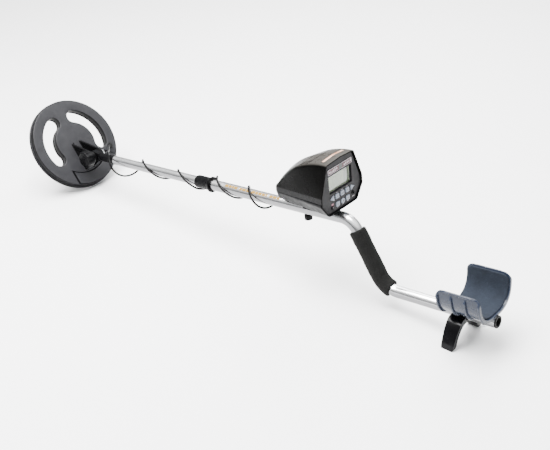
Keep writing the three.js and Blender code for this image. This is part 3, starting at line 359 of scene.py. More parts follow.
def piece(name, vertices, faces, look, body, slot, place=FIT, sharp=35, replaced=(), sides=None):
    """One visible piece; sides is the look of the faces that stand across place's own Z axis."""
    thing = new_object(name, vertices, faces, place)
    mesh = thing.data
    mesh.shade_smooth()
    mesh.set_sharp_from_angle(angle=sharp * DEG)
    mesh.materials.append(LOOKS[look].material)
    if sides:
        mesh.materials.append(LOOKS[sides].material)
        facing = (place.to_3x3() @ Vector((0, 0, 1))).normalized()
        for polygon in mesh.polygons:
            polygon.material_index = 0 if abs(polygon.normal.dot(facing)) > 0.75 else 1
    if body:
        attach(thing, body)
    if replaced:
        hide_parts(*replaced)
    return thing


def bands(rings, sides, start=0):
    """Quads between closed rings of points that follow one another."""
    faces = []
    for a in range(start, start + (rings - 1) * sides, sides):
        for i in range(sides):
            j = (i + 1) % sides
            faces.append((a + i, a + j, a + sides + j, a + sides + i))
    return faces


def grid(rows, columns, start=0):
    """Quads between rows + 1 open lines, each of columns + 1 points."""
    width = columns + 1
    return [(a + i, a + i + 1, a + width + i + 1, a + width + i)
            for a in range(start, start + rows * width, width) for i in range(columns)]


def merged(*parts):
    """Joins (vertices, faces) pairs into one."""
    vertices, faces = [], []
    for points, rings in parts:
        start = len(vertices)
        vertices += [tuple(p) for p in points]
        faces += [tuple(start + i for i in face) for face in rings]
    return vertices, faces


def moved(part, matrix):
    vertices, faces = part
    return [tuple(matrix @ Vector(v)) for v in vertices], faces


def lathe(profile, axis='x', sides=64, relief=None):
    """Turns [along, radius] pairs about an axis; relief(angle, along) adds to the radius."""
    vertices = []
    for at, radius in profile:
        for i in range(sides):
            angle = i / sides * 2 * math.pi
            r = radius + (relief(angle, at) if relief and radius > 0 else 0)
            c, s = r * math.cos(angle), r * math.sin(angle)
            vertices.append({'x': (at, c, s), 'y': (s, at, c), 'z': (c, s, at)}[axis])
    return vertices, bands(len(profile), sides)


def eased(points, radius, steps=4):
    """Rounds the corners of an open [along, radius] profile."""
    result = [points[0]]
    for before, corner, after in zip(points, points[1:], points[2:]):
        c = Vector(corner)
        a, b = Vector(before) - c, Vector(after) - c
        reach = min(radius, a.length * 0.45, b.length * 0.45)
        if reach < 0.02:
            result.append(corner)
            continue
        start, stop = c + a.normalized() * reach, c + b.normalized() * reach
        for k in range(steps + 1):
            t = k / steps
            point = (1 - t) ** 2 * start + 2 * t * (1 - t) * c + t ** 2 * stop
            result.append((point.x, point.y))
    result.append(points[-1])
    return result


def inset(points, distance):
    """Moves a closed outline toward its left side."""
    result = []
    count = len(points)
    for i, p in enumerate(points):
        a, b = Vector(points[i - 1]), Vector(points[(i + 1) % count])
        p = Vector(p)
        d1, d2 = (p - a).normalized(), (b - p).normalized()
        n1, n2 = Vector((-d1.y, d1.x)), Vector((-d2.y, d2.x))
        middle = (n1 + n2)
        if middle.length < 1e-6:
            middle = n1
        middle.normalize()
        reach = distance / max(middle.dot(n1), 0.5)
        result.append(tuple(p + middle * reach))
    return result


def area(points):
    return sum(a[0] * b[1] - b[0] * a[1] for a, b in zip(points, points[1:] + points[:1])) / 2


def plate(outer, holes=(), low=0, high=1, ease_low=0.4, ease_high=0.4, steps=3):
    """A flat plate in XY with holes and rounded edges."""
    rings = [list(outer) if area(outer) > 0 else list(outer)[::-1]]
    rings += [list(h) if area(h) < 0 else list(h)[::-1] for h in holes]
    profile = []
    for k in range(steps + 1):
        angle = k / steps * math.pi / 2
        profile.append((low + ease_low * (1 - math.cos(angle)), ease_low * (1 - math.sin(angle))))
    for k in range(steps, -1, -1):
        angle = k / steps * math.pi / 2
        profile.append((high - ease_high * (1 - math.cos(angle)),
                        ease_high * (1 - math.sin(angle))))
    vertices, faces, starts = [], [], []
    for ring in rings:
        starts.append(len(vertices))
        for z, d in profile:
            vertices += [(x, y, z) for x, y in inset(ring, d)]
        faces += bands(len(profile), len(ring), starts[-1])
    for level in (0, len(profile) - 1):
        loops, lookup = [], []
        for ring, start in zip(rings, starts):
            first = start + level * len(ring)
            loops.append([Vector((*vertices[first + i][:2], 0)) for i in range(len(ring))])
            lookup += [first + i for i in range(len(ring))]
        for triangle in tessellate_polygon(loops):
            faces.append(tuple(lookup[i] for i in triangle))
    return vertices, faces


UPRIGHT = Matrix(((1, 0, 0, 0), (0, 0, -1, 0), (0, 1, 0, 0), (0, 0, 0, 1)))   # XY outline into XZ
ACROSS = Matrix(((0, 0, 1, 0), (1, 0, 0, 0), (0, 1, 0, 0), (0, 0, 0, 1)))   # XY outline into YZ


def arc(x, y, radius, start, stop, steps):
    return [(x + radius * math.cos(start + (stop - start) * i / steps),
             y + radius * math.sin(start + (stop - start) * i / steps)) for i in range(steps + 1)]


def circle(radius, sides=64, x=0, y=0):
    return arc(x, y, radius, 0, 2 * math.pi * (1 - 1 / sides), sides - 1)


def lobed(radius, depth, sides, wave):
    """A round outline with hollows in it; wave(angle), from 0 to 1, is their share of the depth."""
    points = []
    for i in range(sides):
        angle = i / sides * 2 * math.pi
        reach = radius - depth * wave(angle)
        points.append((reach * math.cos(angle), reach * math.sin(angle)))
    return points


def rounded_box(width, height, radius, x=0, y=0, steps=5):
    a, b = width / 2 - radius, height / 2 - radius
    corners = [(a, b, 0), (-a, b, 90), (-a, -b, 180), (a, -b, 270)]
    return [p for cx, cy, start in corners
            for p in arc(x + cx, y + cy, radius, start * DEG, (start + 90) * DEG, steps)]


def tube(path, radius, sides=32, closed_ends=True):
    """Sweeps a circle along 3-D points; radius may be a number or one per point."""
    points = [Vector(p) for p in path]
    radii = [radius] * len(points) if not hasattr(radius, '__len__') else radius
    normal = Vector((0, 1, 0))
    vertices = []
    for i, p in enumerate(points):
        ahead = points[min(i + 1, len(points) - 1)] - points[max(i - 1, 0)]
        ahead.normalize()
        normal = (normal - ahead * normal.dot(ahead)).normalized()
        side = ahead.cross(normal)
        for k in range(sides):
            angle = k / sides * 2 * math.pi
            vertices.append(tuple(p + radii[i] * (math.cos(angle) * normal + math.sin(angle) * side)))
    faces = bands(len(points), sides)
    if closed_ends:
        faces.append(tuple(range(sides))[::-1])
        faces.append(tuple(range(len(vertices) - sides, len(vertices))))
    return vertices, faces


def pipe(path, radius, bore, sides):
    """A tube with a bore: two swept skins, joined by a ring of faces at each end."""
    outer, inner = tube(path, radius, sides, False), tube(path, bore, sides, False)
    vertices, faces = merged(outer, inner)
    half = len(outer[0])
    for end in (0, half - sides):
        for k in range(sides):
            j = (k + 1) % sides
            faces.append((end + k, end + j, half + end + j, half + end + k))
    return vertices, faces


def apply_modifiers(thing):
    """Applies the modifiers now, so nothing is left on the piece."""
    depsgraph = bpy.context.evaluated_depsgraph_get()
    mesh = bpy.data.meshes.new_from_object(thing.evaluated_get(depsgraph))
    thing.modifiers.clear()
    thing.data = mesh


# ---- cords

CABLE_RADIUS = 2.0
COLLAR_FROM, COLLAR_TO, COLLAR_RADIUS, COLLAR_RIM = 401, 444, 13, 16
GLAND = Vector((40, 76, 0))
GLAND_TILT = 39 * DEG
NOSE_HEIGHT, NOSE_LENGTH = 164, 5
TURNS = [(114.6, 12.4, 30.9, -0.016), (234.8, 12.4, 12.7, 0.13), (345, 12.6, 14.3, 0.1),
         (458, 14.6, 14, 0.2), (544, 14.2, 20.5, 0.11), (616.3, 17, 17, 0)]


def collar_clearance(at):
    """Keeps the cable outside the lock collar, easing up to its rim and down again."""
    body = COLLAR_RADIUS + CABLE_RADIUS + 0.5
    rim = COLLAR_RIM + CABLE_RADIUS + 0.5
    if at < COLLAR_FROM - 6 or at > COLLAR_TO + 9:
        return 0
    if at < COLLAR_TO - 16:
        return body * min(1, 0.9 + (at - COLLAR_FROM + 6) * 0.02)
    if at < COLLAR_TO - 7:
        return lerp(body, rim, (at - COLLAR_TO + 16) / 9)
    if at < COLLAR_TO + 3:
        return rim
    return rim * (1 - 0.035 * (at - COLLAR_TO - 3))


def turn_point(index, share):
    start, top, bottom, lag = TURNS[index]
    after, next_top = TURNS[index + 1][:2]
    swing = 0.5 - 0.5 * math.cos(2 * math.pi * share)
    at = start + (after - start) * (share + lag * swing)
    radius = max(lerp(top if share < 0.5 else next_top, bottom, swing), collar_clearance(at))
    angle = 2 * math.pi * share
    local = Vector((at, -radius * math.sin(angle), radius * math.cos(angle)))
    return rot_y(-STEM_SLOPE) @ local + Vector((0, 0, STEM_BASE))


def path_length(points):
    return sum((b - a).length for a, b in zip(points, points[1:]))


def even_steps(points, count):
    """Even steps along the points: for each, the stretch it falls in and its share of it."""
    walked = [0]
    for a, b in zip(points, points[1:]):
        walked.append(walked[-1] + (b - a).length)
    steps, k = [], 0
    for i in range(count + 1):
        want = walked[-1] * i / count
        while k < len(points) - 2 and walked[k + 1] < want:
            k += 1
        span = walked[k + 1] - walked[k]
        steps.append((k, (want - walked[k]) / span if span else 0))
    return steps


def smooth_path(points, spacing, rounds=2):
    """Even steps along a rounded version of the route."""
    work = [Vector(p) for p in points]
    for _ in range(rounds):
        dense = [work[0]]
        for a, b in zip(work, work[1:]):
            dense += [a * 0.75 + b * 0.25, a * 0.25 + b * 0.75]
        work = dense + [work[-1]]
    count = max(2, round(path_length(work) / spacing))
    return [work[k].lerp(work[k + 1], t) for k, t in even_steps(work, count)]


def stem_route():
    points = []
    steps = 36
    for index in range(len(TURNS) - 1):
        last = index == len(TURNS) - 2
        for k in range(int(steps * 0.72) if last else steps):
            points.append(turn_point(index, k / steps))
    tip = BOX_FROM - NOSE_LENGTH - 0.3
    points += [Vector((tip - 13, 17, NOSE_HEIGHT - 15)), Vector((tip - 8, 7, NOSE_HEIGHT - 6)),
               Vector((tip - 4, 0.8, NOSE_HEIGHT - 0.8)), Vector((tip, 0, NOSE_HEIGHT))]
    return smooth_path(points, 1.6)


def gland_point(rise):
    local = GLAND + Vector((0, -rise * math.sin(GLAND_TILT), 1.5 + rise * math.cos(GLAND_TILT)))
    return rot_y(COIL_PITCH) @ local + Vector((0, 0, COIL_HEIGHT))


def lead_route():
    end = turn_point(0, 0)
    onward = (turn_point(0, 0.04) - end).normalized()
    points = [gland_point(12), gland_point(19), Vector((62, 42, 79.5)), Vector((92, 17.5, 91)),
              end - onward * 9, end]
    return smooth_path(points, 1.6, 3)


def make_cord(name, route, node):
    vertices, faces = tube(route, CABLE_RADIUS, 16)
    thing = piece(name, vertices, faces, "sheath", None, "cable_sheath", replaced=(node,))
    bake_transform(thing)
    return thing


def make_cords():
    lead, stem = lead_route(), stem_route()
    make_cord("cable_lead_sheath", lead, "cable_lead")
    make_cord("cable_stem_sheath", stem, "cable_stem")


make_cords()

# ---- search coil

SHELL_RADIUS, SHELL_LOW, RAISED_TOP = 103, -12.85, 2.2
EAR_SIDES, EAR_WALL = (9.1, -14.1), 5
SLOT_RADIUS, SLOT_HALF = 64, 15
SLOT_FROM, SLOT_TO = 70.5 * DEG, 154.5 * DEG
PIVOT = rot_y(-COIL_PITCH) @ (
    Vector((PIVOT_AT * math.cos(STEM_SLOPE), 0, STEM_BASE + PIVOT_AT * math.sin(STEM_SLOPE)))
    - Vector((0, 0, COIL_HEIGHT)))


def slot_outline(side, margin=0.0):
    half = SLOT_HALF + margin
    start = (SLOT_RADIUS * math.cos(SLOT_FROM), SLOT_RADIUS * math.sin(SLOT_FROM))
    stop = (SLOT_RADIUS * math.cos(SLOT_TO), SLOT_RADIUS * math.sin(SLOT_TO))
    points = arc(0, 0, SLOT_RADIUS + half, SLOT_FROM, SLOT_TO, 36)
    points += arc(*stop, half, SLOT_TO + 15 * DEG, SLOT_TO + 165 * DEG, 12)
    points += arc(0, 0, SLOT_RADIUS - half, SLOT_TO, SLOT_FROM, 26)
    points += arc(*start, half, SLOT_FROM + 195 * DEG, SLOT_FROM + 345 * DEG, 12)
    return [(x, side * y) for x, y in points]


def sector_outline(margin):
    inner, outer, edge = 75 - margin, 100.5 + min(margin, 0.4), -45 - margin
    stop = 50 * DEG + margin / inner
    return (arc(0, 0, outer, math.asin(edge / outer), stop, 40)
            + arc(0, 0, inner, stop, math.asin(edge / inner), 34))


def ear_outline():
    x, z = PIVOT.x, PIVOT.z
    return [(2, -1), (0.6, 0)] + arc(x, z, 13, 138 * DEG, -20 * DEG, 28) + [(x + 16, 0), (x + 15, -1)]


def make_coil():
    holes = [slot_outline(1), slot_outline(-1)]
    body = plate(circle(SHELL_RADIUS, 128), holes, SHELL_LOW, -1.2, 0.5, 0.05)
    skin = plate(circle(SHELL_RADIUS, 128), holes + [sector_outline(2.3)], -1.25, 0, 0.02, 1.6, 6)
    raised = plate(sector_outline(0), (), -1.25, RAISED_TOP, 0.02, 1.4, 6)
    # The wall under the skin and the side faces of shell and cover take the darker copy of the coil plastic
    # as painted shade.
    piece("coil_wall", *body, "coil_side", "coil", "coil_plastic", COIL, 30)
    piece("coil_shell", *merged(skin, raised), "coil_plastic", "coil", "coil_plastic", COIL, 30,
          sides="coil_side")
    ears = []
    for inside in EAR_SIDES:
        ear = plate(ear_outline(), (circle(BORE_RADIUS, 32, PIVOT.x, PIVOT.z),), -inside - EAR_WALL,
                    -inside, 0.9, 0.9)
        ears.append(moved(ear, UPRIGHT))
        foot = plate(rounded_box(70, 1.6, 0.7, 34, inside + (-0.8 if inside > 0 else 5.8)), (),
                     -0.2, 1.6, 0.02, 0.6)
        ears.append(foot)
    piece("coil_ears", *merged(*ears), "black_plastic", "coil", "coil_plastic", COIL, 30,
          replaced=("coil_upper_shell",))
    cover = plate(circle(COVER_RADIUS, 128), [slot_outline(1, -0.3), slot_outline(-1, -0.3)], COVER_LOW,
                  COVER_HIGH, 1.6, 1.1, 5)
    piece("coil_cover", *cover, "coil_plastic", "coil", "coil_plastic", COIL, 30,
          replaced=("coil_lower_cover",), sides="coil_side")


def make_gland():
    seat = lathe(eased([(0, 0), (0.3, 6.5), (2.2, 6.5), (3.4, 4.6), (3.4, 0)], 0.6), 'z', 40)
    spout = [(0, 0), (0, 4.5)]
    for i in range(5):
        z = 2 + i * 2.2
        r = 4.4 - i * 0.24
        spout += [(z, r), (z + 0.5, r - 0.45), (z + 1.1, r - 0.45), (z + 1.6, r - 0.1)]
    spout += [(13, 2.9), (13, 0)]
    tilt = Matrix.Translation((0, 0, 1.5)) @ Matrix.Rotation(GLAND_TILT, 4, 'X')
    part = merged(seat, moved(lathe(spout, 'z', 40), tilt))
    part = moved(part, Matrix.Translation(GLAND))
    piece("coil_gland", *part, "rubber", "coil", "black_rubber", COIL, 40,
          replaced=("coil_cable_gland",))


def washer(low, high, radius, ease):
    profile = [(low, BORE_RADIUS), (low, radius), (high, radius), (high, BORE_RADIUS), (low, BORE_RADIUS)]
    return lathe(eased(profile, ease), 'y', 48)


def make_tilt_clamp():
    """The knob, bolt, washer and rubbers on the tilt axis; side is the ears' outer face."""
    place = COIL @ Matrix.Translation(PIVOT)
    side = 14.4
    lobes = lobed(20, 1.7, 128, lambda angle: 0.5 - 0.5 * math.cos(8 * angle))
    grip = moved(plate(lobes, (), side + 3.5, side + 19.5, 1.2, 3.2, 6), UPRIGHT)
    face = lathe(eased([(-side - 19.4, 0), (-side - 20.3, 0.1), (-side - 20.3, 10), (-side - 19, 12)],
                       1.0), 'y', 64)
    hub = lathe(eased([(-side, BORE_RADIUS), (-side, 10), (-side - 4, 11), (-side - 4, BORE_RADIUS)],
                      0.8), 'y', 64)
    piece("tilt_knob_grip", *merged(grip, face, hub), "black_plastic", "tilt_knob", "black_plastic",
          place, 40, replaced=("coil_knob",))
    head = moved(plate(circle(7.5, 6), (), -side - 7, -side - 1.9, 0.8, 0.3), UPRIGHT)
    shank = lathe([(-side - 13, 0), (-side - 13, 3.9), (side + 3, 3.9), (side + 3, 0)], 'y', 40)
    piece("tilt_bolt", *merged(head, shank), "steel", "coil", "steel", place, 30,
          replaced=("pivot_bolt",))
    piece("tilt_washer", *washer(side, side + 1.6, 9, 0.3), "steel", "coil", "steel", place, 30,
          replaced=("pivot_head_washer",))
    for name, low in (("left", -8.8), ("right", 6.8)):
        piece("tilt_rubber_" + name, *washer(low, low + 2, 11, 0.5), "rubber", "coil",
              "black_rubber", place, 40, replaced=("pivot_rubber_" + name,))


# ---- the stem

def make_stem():
    tang = plate(arc(PIVOT_AT, 0, 12, 90 * DEG, 270 * DEG, 24)
                 + [(PIVOT_AT + 22, -9), (PIVOT_AT + 22, 9)],
                 (circle(BORE_RADIUS, 32, PIVOT_AT, 0),), -6.5, 6.5, 1, 1)
    neck = lathe(eased([(PIVOT_AT + 15, 0), (PIVOT_AT + 15, 5), (PIVOT_AT + 24, 9.6), (128, 9.7),
                        (129, 10.4), (136.7, 10.4), (136.7, 8.4)], 1.2), 'x', 64)
    piece("rod_end", *merged(moved(tang, UPRIGHT), neck), "black_plastic", "lower_stem",
          "black_plastic", STEM, 30, replaced=("lower_rod_end",))
    bore, edge = TUBE_RADIUS - 1, TUBE_RADIUS - 0.3
    lower = lathe([(TUBE_FROM, bore), (TUBE_FROM, edge), (TUBE_FROM + 0.3, TUBE_RADIUS),
                   (TUBE_TO - 0.3, TUBE_RADIUS), (TUBE_TO, edge), (TUBE_TO, bore), (TUBE_FROM, bore)],
                  'x', 72)
    piece("stem_tube", *lower, "aluminium", "lower_stem", "tube_aluminium", STEM, 30,
          replaced=("lower_tube",))


def collar_rib(angle, at):
    """24 shallow grooves round the grip of the twist collar."""
    return -0.45 * max(0, math.cos(angle * 24)) ** 2 if 406 < at < 434 else 0


def make_lock():
    profile = [(401, 10.1), (401, 12.4), (402.2, 13)]
    profile += [(405 + i, 13) for i in range(31)]
    profile += [(436, 13.1), (438.6, 15.2), (440.2, 16), (443.4, 16), (444, 15.4), (444, 11.5),
                (421, 11.5), (421, 12.2), (404, 12.2), (404, 10.1), (401, 10.1)]
    piece("twist_collar_sleeve", *lathe(profile, 'x', 144, collar_rib), "black_plastic",
          "twist_collar", "black_plastic", STEM, 40, replaced=("lock_collar",))


def bend(corner, slope_in, slope_out, radius, steps):
    turn = slope_out - slope_in
    reach = radius * math.tan(abs(turn) / 2)
    side = 1 if turn > 0 else -1
    x = corner[0] - reach * math.cos(slope_in)
    z = corner[1] - reach * math.sin(slope_in)
    cx = x - side * radius * math.sin(slope_in)
    cz = z + side * radius * math.cos(slope_in)
    return [Vector((cx + side * radius * math.sin(a), 0, cz - side * radius * math.cos(a)))
            for a in [slope_in + turn * i / steps for i in range(steps + 1)]]


UPPER = bend(UPPER_BEND, STEM_SLOPE, -HANDLE_SLOPE, 36, 40)
LOWER = bend(LOWER_BEND, -HANDLE_SLOPE, TAIL_SLOPE, 44, 54)


def make_rod():
    start = Vector((ROD_FROM * math.cos(STEM_SLOPE), 0, STEM_BASE + ROD_FROM * math.sin(STEM_SLOPE)))
    end = Vector((TAIL_TO + 2.6, 0, tail_height(TAIL_TO + 2.6)))
    path = [start, start.lerp(UPPER[0], 0.5), *UPPER, *LOWER, LOWER[-1].lerp(end, 0.5), end]
    piece("rod_tube", *pipe(path, ROD_RADIUS, ROD_RADIUS - 1, 72), "aluminium", "rod_body",
          "tube_aluminium", FIT, 40, replaced=("s_rod",))
    cap = lathe(eased([(-16, 0), (-16, 9.8), (2.7, 9.8), (2.7, 11.2), (4.8, 11.2), (5.1, 10.4),
                       (5.1, 7.6), (-4.7, 7.2), (-4.7, 0)], 0.7), 'x', 64)
    place = FIT @ Matrix.Translation((TAIL_TO, 0, tail_height(TAIL_TO))) @ rot_y(-TAIL_SLOPE)
    piece("rod_cap", *cap, "rubber", "rod_body", "black_rubber", place, 40, replaced=("end_cap",))


LEGEND_FROM, LEGEND_GAP, LEGEND_BREAK, LEGEND_LEAN = 486, 1.3, 5, 1.2
LEGEND_WORDS = [[9, 7, 5, 8], [6, 9, 8], [9, 6, 8, 7, 5], [7, 9, 6]]


def make_legend():
    """A printed row of plain gold bars on the upper side of the rod, in four groups."""
    vertices, faces = [], []
    at, steps, radius = LEGEND_FROM, 8, ROD_RADIUS + 0.06
    for word in LEGEND_WORDS:
        for width in word:
            faces += grid(1, steps, len(vertices))
            for u in (at, at + width):
                for k in range(steps + 1):
                    angle = lerp(18, 45, k / steps) * DEG
                    vertices.append((u - LEGEND_LEAN * k / steps, -radius * math.sin(angle),
                                     radius * math.cos(angle)))
            at += width + LEGEND_GAP
        at += LEGEND_BREAK
    piece("rod_legend", vertices, faces, "ink_gold", "rod_body", "brass_insert", STEM)


GRIP_FROM, GRIP_RADIUS, GRIP_SWELL, GRIP_EDGE = 20.5, 12.6, 3.1, 2.6


def make_grip():
    """The foam sleeve, with rounded ends and the slight waves of stretched foam."""
    first = Vector((UPPER_BEND[0] + GRIP_FROM * math.cos(HANDLE_SLOPE), 0,
                    UPPER_BEND[1] - GRIP_FROM * math.sin(HANDLE_SLOPE)))
    points = smooth_path([first, *LOWER[:40]], 1.2, 0)
    total = path_length(points)
    radii, walked = [], 0.0
    for i, p in enumerate(points):
        if i:
            walked += (p - points[i - 1]).length
        edge = min(walked, total - walked)
        swell = math.sqrt(max(0, 1 - (1 - min(1, edge / GRIP_EDGE)) ** 2))
        wave = 0.25 * math.sin(walked * 0.11) + 0.15 * math.sin(walked * 0.31 + 1)
        radii.append(GRIP_RADIUS + GRIP_SWELL * swell + wave * min(1, edge / 8))
    grip = piece("grip_sleeve", *pipe(points, radii, ROD_RADIUS + 0.15, 64), "foam", "rod_body",
                 "grip_foam", FIT, 60, replaced=("grip_foam",))


# ---- arm cuff and stand

CUFF_FROM, CUFF_TO = 1001.5 - STAND_AT, 1084 - STAND_AT
CUFF_HALF, CUFF_TOP, CUFF_BOTTOM, CUFF_WALL, CUFF_POWER = 51, 66.5, 11.5, 3.2, 2.9
CUFF_CORNER = 13
LIP_REACH = 90


def cuff_point(share, inward, top=CUFF_TOP):
    """A point of the U section; share runs from -1, the left lip, to 1, the right one."""
    angle = abs(share) * math.pi / 2
    width, depth = CUFF_HALF - inward, CUFF_TOP - CUFF_BOTTOM - inward
    y = width * math.sin(angle) ** (2 / CUFF_POWER)
    z = CUFF_TOP - depth * math.cos(angle) ** (2 / CUFF_POWER)
    return math.copysign(y, share), min(z, top)


def cuff_shares(steps):
    """Even steps along the section rather than even angles."""
    fine = [i / 400 - 1 for i in range(801)]
    points = [Vector(cuff_point(s, 0)) for s in fine]
    return [lerp(fine[k], fine[k + 1], min(t, 1)) for k, t in even_steps(points, steps)]


def with_fine_ends(shares, count=7, parts=5):
    """Extra steps near both lips, where the corners are rounded."""
    result = []
    last = len(shares) - 1
    for i, (a, b) in enumerate(zip(shares, shares[1:])):
        split = parts if i < count or i >= last - count else 1
        result += [lerp(a, b, k / split) for k in range(split)]
    return result + [shares[-1]]


def corner_trim(z, top=CUFF_TOP, corner=CUFF_CORNER):
    """How far the rounded upper corner cuts in from the edge at height z."""
    drop = max(0, top - z)
    return corner - math.sqrt(max(0, corner ** 2 - max(0, corner - drop) ** 2))


def trough(front, rear, outward, inward, top, corner, columns=28, crown=0.0, rim=0.9):
    """A closed U-shaped skin between two depths, with rounded upper corners and an eased edge."""
    rows = [(share, corner_trim(cuff_point(share, 0, top)[1], top, corner))
            for share in with_fine_ends(cuff_shares(72))]
    vertices = []
    for outside in (True, False):
        for share, trim in rows:
            a, b = front + trim, rear - trim
            to_lip = (1 - abs(share)) * LIP_REACH
            for i in range(columns + 1):
                t = i / columns
                x = lerp(a, b, t)
                near = min(1, min(x - a, b - x, to_lip) / rim)
                ease = (1 - near) * (inward - outward) * 0.28
                swell = crown * math.sin(math.pi * t) ** 0.5 * min(1, to_lip / 10)
                depth = outward + ease if outside else inward - ease + swell
                vertices.append((x, *cuff_point(share, depth, top)))
    width, count = columns + 1, len(rows)
    back = count * width
    faces = grid(count - 1, columns) + grid(count - 1, columns, back)
    for a in range(0, back - width, width):
        for i in (0, columns):
            faces.append((a + i, a + width + i, back + a + width + i, back + a + i))
    for a in (0, back - width):
        for i in range(columns):
            faces.append((a + i, a + i + 1, back + a + i + 1, back + a + i))
    return vertices, faces


def cuff_rib(at, lean):
    """A raised rib round the outside; lean is 1 or -1 for the end ribs, which follow the corners."""
    section = [(-2, 1.2), (-2, -2.2), (-1.2, -3.1), (1.2, -3.1), (2, -2.2), (2, 1.2)]
    shares = [s * 0.985 for s in with_fine_ends(cuff_shares(64))]
    vertices = []
    for share in shares:
        fade = min(1, (1 - abs(share)) * 14)
        shift = lean * corner_trim(cuff_point(share, 0)[1])
        for dx, depth in section:
            y, z = cuff_point(share, lerp(1.2, depth, fade), CUFF_TOP - 1.5)
            vertices.append((at + dx + shift, y, z))
    n = len(section)
    faces = bands(len(shares), n)
    faces.append(tuple(range(n)))
    faces.append(tuple(range(len(vertices) - n, len(vertices))))
    return vertices, faces


def cuff_bead(side):
    """The thicker upper lip."""
    steps = 24
    path = [Vector((lerp(CUFF_FROM + 11, CUFF_TO - 11, i / steps), side * (CUFF_HALF - 0.6),
                    CUFF_TOP - 1.9)) for i in range(steps + 1)]
    radii = [1.9 * min(1, 0.2 + min(i, steps - i) * 0.3) for i in range(steps + 1)]
    return tube(path, radii, 20)


def make_cuff():
    shell = trough(CUFF_FROM, CUFF_TO, 0, CUFF_WALL, CUFF_TOP, CUFF_CORNER)
    ribs = [cuff_rib(lerp(CUFF_FROM + 2.1, CUFF_TO - 2.1, i / 3), lean)
            for i, lean in enumerate((1, 0, 0, -1))]
    piece("cuff_shell", *merged(shell, *ribs, cuff_bead(-1), cuff_bead(1)), "navy", "rod_body",
          "cuff_navy", TAIL, 35, replaced=("arm_cuff",))


def make_cuff_lining():
    lining = trough(CUFF_FROM + 2.6, CUFF_TO - 2.6, CUFF_WALL + 0.1, CUFF_WALL + 3, CUFF_TOP - 2.6,
                    CUFF_CORNER - 2, 36, 0.9, 1.8)
    pad = piece("cuff_lining", *lining, "felt", "rod_body", "cuff_lining", TAIL, 50,
                replaced=("cuff_pad",))


def make_cuff_bolts():
    floor = CUFF_BOTTOM + CUFF_WALL + 0.3
    for name, x, low in (("front", 0, -21), ("rear", 42, -17)):
        socket = [(floor + 0.8, 0), (floor + 0.8, 2), (floor + 1.9, 2.2), (floor + 2.3, 3.2),
                  (floor + 2.2, 4.4), (floor + 1.6, 5), (floor, 5), (floor, 2.5), (low, 2.5), (low, 0)]
        bolt = moved(lathe(eased(socket, 0.4), 'z', 40), Matrix.Translation((x, 0, 0)))
        piece("cuff_screw_" + name, *bolt, "dark_steel", "rod_body", "steel", TAIL, 35,
              replaced=("cuff_bolt_" + name,))
        nut = plate(circle(5, 6, x), (circle(3.3, 24, x, 0),), low + 2, low + 5.4, 0.4, 0.4)
        piece("cuff_hex_" + name, *nut, "steel", "rod_body", "steel", TAIL, 30,
              replaced=("cuff_nut_" + name,))


def spline(points, per=6):
    """A smooth open line through 2-D points."""
    result = []
    ends = [points[0]] + list(points) + [points[-1]]
    for i in range(1, len(ends) - 2):
        p0, p1, p2, p3 = (Vector(p) for p in ends[i - 1:i + 3])
        for k in range(per):
            t = k / per
            point = 0.5 * ((2 * p1) + (p2 - p0) * t + (2 * p0 - 5 * p1 + 4 * p2 - p3) * t * t
                           + (3 * p1 - p0 - 3 * p2 + p3) * t ** 3)
            result.append((point.x, point.y))
    result.append(tuple(points[-1]))
    return result


STAND_WIDTH, FOOT_WIDTH, STAND_SHOULDER = 27, 22.8, 46
STAND_BEVEL = 26


def stand_point(y, z, t):
    """Widens the unit-thick outline to the stand, which narrows and shifts toward its feet."""
    climb = min(1, max(0, z) / STAND_SHOULDER)
    width = lerp(FOOT_WIDTH, STAND_WIDTH, climb) * (1 - 0.1 * max(0, 1 - z / 2.5))
    bevel = (0.5 - abs(t)) * STAND_BEVEL
    return y, z, math.copysign(width / 2 - bevel, t) + lerp(1, 0, climb)


def make_stand():
    """The arch, whose seat wraps the underside of the rod."""
    outer = spline([(11.2, 49.2), (19.5, 48), (29.5, 39.5), (38, 26), (45, 10), (48, 0)])
    inner = spline([(41, 0), (36, 4), (31, 18), (25.5, 28), (18, 35.5), (9, 38)])
    seat = [(11.3 * math.sin(i * 6 * DEG), 52.5 - 11.6 * math.cos(i * 6 * DEG)) for i in range(13)]
    right = seat + outer[1:] + inner
    outline = []
    for p in right + [(-y, z) for y, z in right[::-1]]:
        if not outline or (Vector(p) - Vector(outline[-1])).length > 0.25:
            outline.append(p)
    if (Vector(outline[0]) - Vector(outline[-1])).length < 0.25:
        outline.pop()
    vertices, faces = plate(outline, (), -0.5, 0.5, 0.04, 0.04, 4)
    part = moved(([stand_point(*v) for v in vertices], faces), ACROSS)
    part = moved(part, Matrix.Translation((STAND_AT, 0, 0)))
    piece("stand_arch", *part, "gloss_black", "rod_body", "gloss_black", FIT, 30,
          replaced=("stand",))


# ---- control box

NOSE_HALF, PANEL_HALF, NOSE_BASE, PANEL_BASE = 25.5, 60, 17.5, 41
TOP_HALF, NOSE_CREST, CREST_CLIMB, UNDERSIDE_RISE = 39, 186, 87, 19.4
BAND_AT, BAND_LEVEL, BAND_RISE = 641, 188, 0.214
PARTING_AT, PARTING_LEVEL, PARTING_RISE, PARTING_GAP = 643, 178, 0.2056, 0.4
WALL = 0.0024
SLOTS_FROM, SLOT_PITCH, SLOTS_ASIDE = 700.55, 3.2, 28


def box_run(x):
    """0 at the nose of the box and 1 at its panel."""
    return min(max((x - BOX_FROM) / (BOX_TO - BOX_FROM), 0), 1)


def leaned(x, z):
    """The x of a point at height z in the section at x, which leans more toward the panel."""
    return x - (z - BOX_LEVEL) * math.tan(BOX_LEAN) * box_run(x)


def band_line(x):
    """The height of the crease above the flat band."""
    return BAND_LEVEL + BAND_RISE * (x - BAND_AT)


